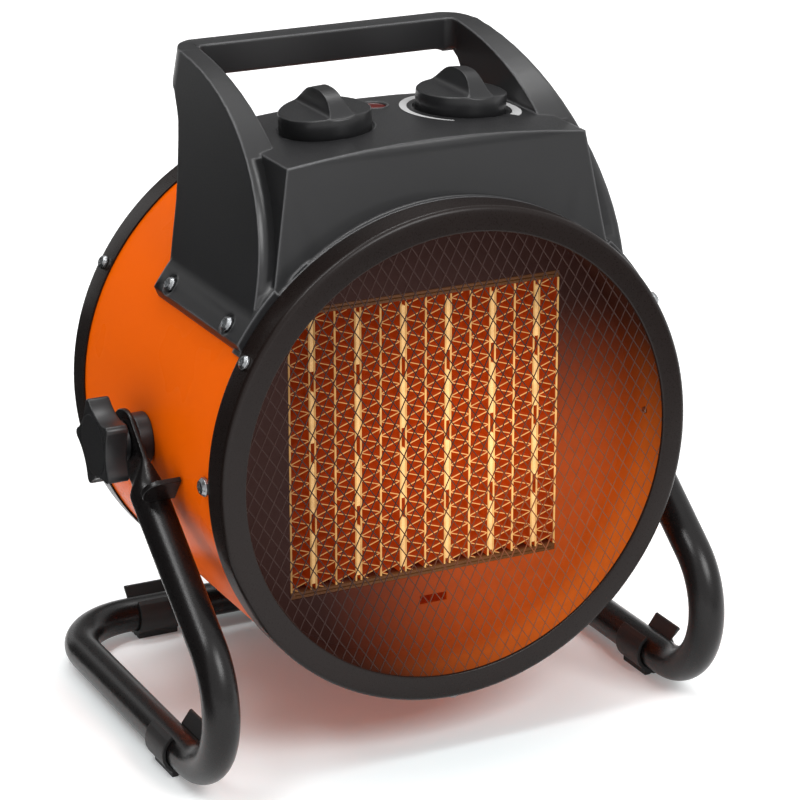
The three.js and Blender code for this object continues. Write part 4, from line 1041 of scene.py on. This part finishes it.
class HEATER_OT_element(bpy.types.Operator):
    """Builds the heating bars with their stones, and the folded fins between them"""

    bl_idname = "heater.element"
    bl_label = "Heating element"

    def execute(self, context):
        sizes = context.scene.heater_sizes
        length, pitch = sizes.stone_length / MM, sizes.stone_pitch / MM
        for i in range(BAR_COUNT):
            sides, stones = heating_bar_surfaces(i, length, pitch)
            node, slot = [f"heating_bar_{i + 1}"], "heating_stone"
            mesh_piece(f"bar_sheets_{i + 1}", sides, FINISHES["bars"], "heater", node)
            mesh_piece(f"bar_stones_{i + 1}", stones, FINISHES["stones"], "heater", node)
        for i in range(BAR_COUNT + 1):
            fins = fin_pack_surface(i, sizes.fin_period / MM, sizes.fin_sheet / MM)
            node = f"fin_pack_{i + 1}"
            mesh_piece(f"folded_fins_{i + 1}", fins, FINISHES["fins"], "heater", [node], 50)
        return {"FINISHED"}


class HEATER_OT_controls(bpy.types.Operator):
    """Dresses the control housing and builds its knobs, scale and lamp ring"""

    bl_idname = "heater.controls"
    bl_label = "Controls"

    def execute(self, context):
        sizes = context.scene.heater_sizes
        plastic = FINISHES["plastic"]
        merged_copy("control_housing", "moulded_housing", plastic, 22)
        knob = knob_surface(
            sizes.knob_radius / MM, sizes.knob_height / MM, sizes.knob_rim / MM, sizes.knob_grip / MM
        )
        for body, centre in KNOB_CENTRES.items():
            points = knob_place(knob[0], centre, sizes.knob_turn)
            placed = (points, knob[1])
            mesh_piece(f"{body}_grip", placed, FINISHES["knob"], body, [body], 50)
        centre = KNOB_CENTRES["thermostat_knob"]
        band = scale_arc_surface(centre, sizes.scale_radius / MM, *SCALE_ANGLES, *SCALE_WIDTHS)
        mesh_piece("thermostat_scale", band, FINISHES["ink"], "heater")
        mesh_piece("lamp_ring", lamp_ring_surface(), plastic, "heater")
        merged_copy("indicator_lamp", "lamp_lens_cap", FINISHES["lens"])
        merged_copy("cord_gland", "cord_gland_sleeve", FINISHES["rubber"], round_edge=0.4)
        for place in ("front_left", "front_right", "rear_left", "rear_right"):
            node = f"housing_screw_{place}"
            merged_copy(node, f"{node}_head", FINISHES["steel"], round_edge=0.15)
        return {"FINISHED"}


class HEATER_OT_pivots(bpy.types.Operator):
    """Dresses the spacers and the lobed clamp knobs at both ends of the tilt axis"""

    bl_idname = "heater.pivots"
    bl_label = "Pivots"

    def execute(self, context):
        plastic = FINISHES["knob"]
        for side in ("left", "right"):
            spacer = f"pivot_spacer_{side}"
            merged_copy(spacer, f"spacer_disc_{side}", plastic, round_edge=0.5)
            body = f"clamp_knob_{side}"
            knob = clamp_knob_surface(-1 if side == "left" else 1)
            mesh_piece(f"lobed_clamp_{side}", knob, plastic, body, [body], 40)
        return {"FINISHED"}


# Stage
CAMERA_PLACE = (-0.6331, -1.29805, 0.6610)
CAMERA_BACK = (-0.4206, -0.8429, 0.3356)
CAMERA_LENS = 142.5
LAMP_TARGET = (0.0, 0.0, 0.16)
# Each lamp's place, width and height in metres, and its power in watts.
LAMPS = (
    ("key_lamp", (0.4, -1.6, 1.5), 0.95, 0.95, 30.0),
    ("side_lamp", (-0.8, -0.3, 1.8), 0.3, 0.9, 12.0),
    ("top_lamp", (0.2, 0.5, 1.8), 0.8, 0.4, 8.0),
)
WORLD_LIGHT = 0.45


def soft_lamp(name, place, width, height, power):
    """A rectangular studio lamp that faces the heater."""
    data = bpy.data.lights.new(name, "AREA")
    data.shape = "RECTANGLE"
    data.size = width
    data.size_y = height
    data.energy = power
    lamp = bpy.data.objects.new(name, data)
    lamp.location = place
    lamp.rotation_mode = "QUATERNION"
    lamp.rotation_quaternion = (Vector(LAMP_TARGET) - Vector(place)).to_track_quat("-Z", "Y")
    bpy.context.scene.collection.objects.link(lamp)


def seen_rays(tree):
    """1 for rays from the camera and for those seen in gloss or through glass, otherwise 0."""
    path = add_node(tree, "LightPath").outputs
    direct = {0: path["Is Camera Ray"], 1: path["Is Glossy Ray"]}
    first = add_node(tree, "Math", direct, operation="MAXIMUM")
    return add_node(tree, "Math", {0: first, 1: path["Is Transmission Ray"]}, operation="MAXIMUM")


# The floor's colour near the heater and past it, and the distances in metres over which it changes.
FLOOR_NEAR = "#eaf6f8"
FLOOR_FAR = "#f3f3f3"
TINT_REACH = {"From Min": 0.06, "From Max": 0.2}
# The floor's lift towards white by the distance in metres: past the shadow, and further out.
NEAR_LIFT = {"From Min": 0.09, "From Max": 0.2, "To Min": 0.03, "To Max": 0.45}
FAR_LIFT = {"From Min": 0.5, "From Max": 2.0, "To Max": 0.5}
WHITE = linear("#ffffff")


def studio_floor_paint():
    """Matt white studio floor: it takes the shadow, and reads as white where nothing shades it."""
    material, tree, place = new_finish("studio_floor_paint")
    cloud = add_node(tree, "TexNoise", {"Vector": place, "Scale": per_metre(400)})
    tone = add_node(tree, "MapRange", {"Value": cloud, "To Min": 0.99, "To Max": 1.0, **NOISE_SPAN})
    distance = add_node(tree, "VectorMath", {0: place}, operation="LENGTH").outputs["Value"]
    # A cool tint under the heater takes back the warm light that its shell and glow throw there.
    tinted = {"Value": distance, **TINT_REACH}
    outward = add_node(tree, "MapRange", tinted, interpolation_type="SMOOTHSTEP")
    colours = {"Color1": linear(FLOOR_NEAR), "Color2": linear(FLOOR_FAR)}
    tint = add_node(tree, "MixRGB", {"Fac": outward, **colours})
    paint = add_node(tree, "HueSaturation", {"Color": tint, "Value": tone})
    # Past the shadow the floor is lifted to full white, for the eye and in gloss only.
    lifted = {"Value": distance, **NEAR_LIFT}
    near = add_node(tree, "MapRange", lifted, interpolation_type="SMOOTHSTEP")
    # The lamps hardly reach the floor beyond a metre, so the lift goes on growing there.
    far = add_node(tree, "MapRange", {"Value": distance, **FAR_LIFT})
    white = add_node(tree, "Math", {0: near, 1: far}, operation="ADD")
    lift = add_node(tree, "Math", {0: seen_rays(tree), 1: white}, operation="MULTIPLY")
    surface = add_node(
        tree,
        "BsdfPrincipled",
        {
            "Base Color": paint,
            "Roughness": 0.9,
            "Specular IOR Level": 0.0,
            "Emission Color": WHITE,
            "Emission Strength": lift,
        },
    )
    add_node(tree, "OutputMaterial", {"Surface": surface})
    return material


def flat_sheet(name, corners, material):
    """A four-cornered sheet that belongs to the stage and not to the object."""
    data = bpy.data.meshes.new(name)
    data.from_pydata(corners, [], [(0, 1, 2, 3)])
    data.materials.append(material)
    sheet = bpy.data.objects.new(name, data)
    bpy.context.scene.collection.objects.link(sheet)
    return sheet


def studio_floor():
    """A square floor far wider than the object."""
    half = 6.0
    corners = [(-half, -half, 0), (half, -half, 0), (half, half, 0), (-half, half, 0)]
    flat_sheet("studio_floor", corners, studio_floor_paint())


def flag_card(name, corners, shade):
    """A dark card beside the object, out of the picture. It shows only in gloss."""
    material, tree, place = new_finish(name)
    cloud = add_node(tree, "TexNoise", {"Vector": place, "Scale": per_metre(300)})
    cloudy = {"Value": cloud, "To Min": shade * 0.9, "To Max": shade * 1.1}
    tone = add_node(tree, "MapRange", cloudy)
    card = add_node(tree, "BsdfPrincipled", {"Base Color": tone, "Roughness": 0.9})
    add_node(tree, "OutputMaterial", {"Surface": card})
    flag = flat_sheet(name, corners, material)
    flag.visible_camera = False
    flag.visible_diffuse = False
    flag.visible_shadow = False


def flag_cards():
    """Cards on the left, on the floor on both sides of the picture, and behind the handle."""
    left, rear, top = -1.1, 2.6, 1.4
    height = 0.004
    standing = [(left, -0.5, 0.0), (left, rear, 0.0), (left, rear, top), (left, -0.5, top)]
    flag_card("flag_card_left", standing, 0.02)
    lying = [(left, -0.3, height), (-0.33, -0.3, height), (0.25, 1.2, height), (left, rear, height)]
    flag_card("flag_card_floor_left", lying, 0.02)
    right = [(0.2, -0.45, height), (0.1, -1.3, height), (1.1, -1.6, height), (0.9, -0.3, height)]
    flag_card("flag_card_floor_right", right, 0.05)
    behind = [(-0.3, 1.5, 0.45), (2.2, 1.5, 0.45), (2.2, 1.5, 1.6), (-0.3, 1.5, 1.6)]
    flag_card("flag_card_rear", behind, 0.15)


def studio_world():
    """White surroundings: full white to the eye and in gloss, dimmer as light on the object."""
    world = bpy.data.worlds.new("studio_world")
    world.use_nodes = True
    tree = world.node_tree
    tree.nodes.clear()
    brightness = {"Value": seen_rays(tree), "To Min": WORLD_LIGHT, "To Max": 1.0}
    strength = add_node(tree, "MapRange", brightness)
    white = add_node(tree, "Background", {"Color": WHITE, "Strength": strength})
    add_node(tree, "OutputWorld", {"Surface": white})
    bpy.context.scene.world = world


def photo_camera():
    """The camera at the photograph's place, which looks along the photograph's line of sight."""
    data = bpy.data.cameras.new("photo_camera")
    data.lens = CAMERA_LENS
    data.sensor_width = 36.0
    data.clip_start = 0.05
    camera = bpy.data.objects.new("photo_camera", data)
    camera.location = CAMERA_PLACE
    camera.rotation_mode = "QUATERNION"
    camera.rotation_quaternion = (-Vector(CAMERA_BACK)).to_track_quat("-Z", "Y")
    bpy.context.scene.collection.objects.link(camera)
    bpy.context.scene.camera = camera


class HEATER_OT_stage(bpy.types.Operator):
    """Sets the floor, the surroundings, the lamps and the camera"""

    bl_idname = "heater.stage"
    bl_label = "Stage"

    def execute(self, context):
        studio_floor()
        flag_cards()
        studio_world()
        for name, place, width, height, power in LAMPS:
            soft_lamp(name, place, width, height, power)
        photo_camera()
        context.scene.view_settings.view_transform = "Standard"
        return {"FINISHED"}


OPERATORS = (
    HEATER_OT_finishes,
    HEATER_OT_stand,
    HEATER_OT_drum,
    HEATER_OT_net,
    HEATER_OT_element,
    HEATER_OT_controls,
    HEATER_OT_pivots,
    HEATER_OT_stage,
)


class HEATER_PT_panel(bpy.types.Panel):
    """Lists the heater's pieces with their sizes and colours"""

    bl_idname = "HEATER_PT_panel"
    bl_label = "Standing heater"
    bl_space_type = "VIEW_3D"
    bl_region_type = "UI"
    bl_category = "Heater"

    def draw(self, context):
        layout = self.layout
        for group in (context.scene.heater_sizes, context.scene.heater_colours):
            box = layout.box()
            for name in group.__annotations__:
                box.prop(group, name)
        for operator in OPERATORS:
            layout.operator(operator.bl_idname)


CLASSES = (HeaterSizes, HeaterColours, *OPERATORS, HEATER_PT_panel)


def register():
    for item in CLASSES:
        bpy.utils.register_class(item)
    bpy.types.Scene.heater_sizes = bpy.props.PointerProperty(type=HeaterSizes)
    bpy.types.Scene.heater_colours = bpy.props.PointerProperty(type=HeaterColours)


def unregister():
    del bpy.types.Scene.heater_colours
    del bpy.types.Scene.heater_sizes
    for item in reversed(CLASSES):
        bpy.utils.unregister_class(item)


def main():
    register()
    bpy.ops.heater.finishes()
    bpy.ops.heater.stand()
    bpy.ops.heater.drum()
    bpy.ops.heater.net()
    bpy.ops.heater.element()
    bpy.ops.heater.controls()
    bpy.ops.heater.pivots()
    bpy.ops.heater.stage()


if __name__ == "__main__":
    main()
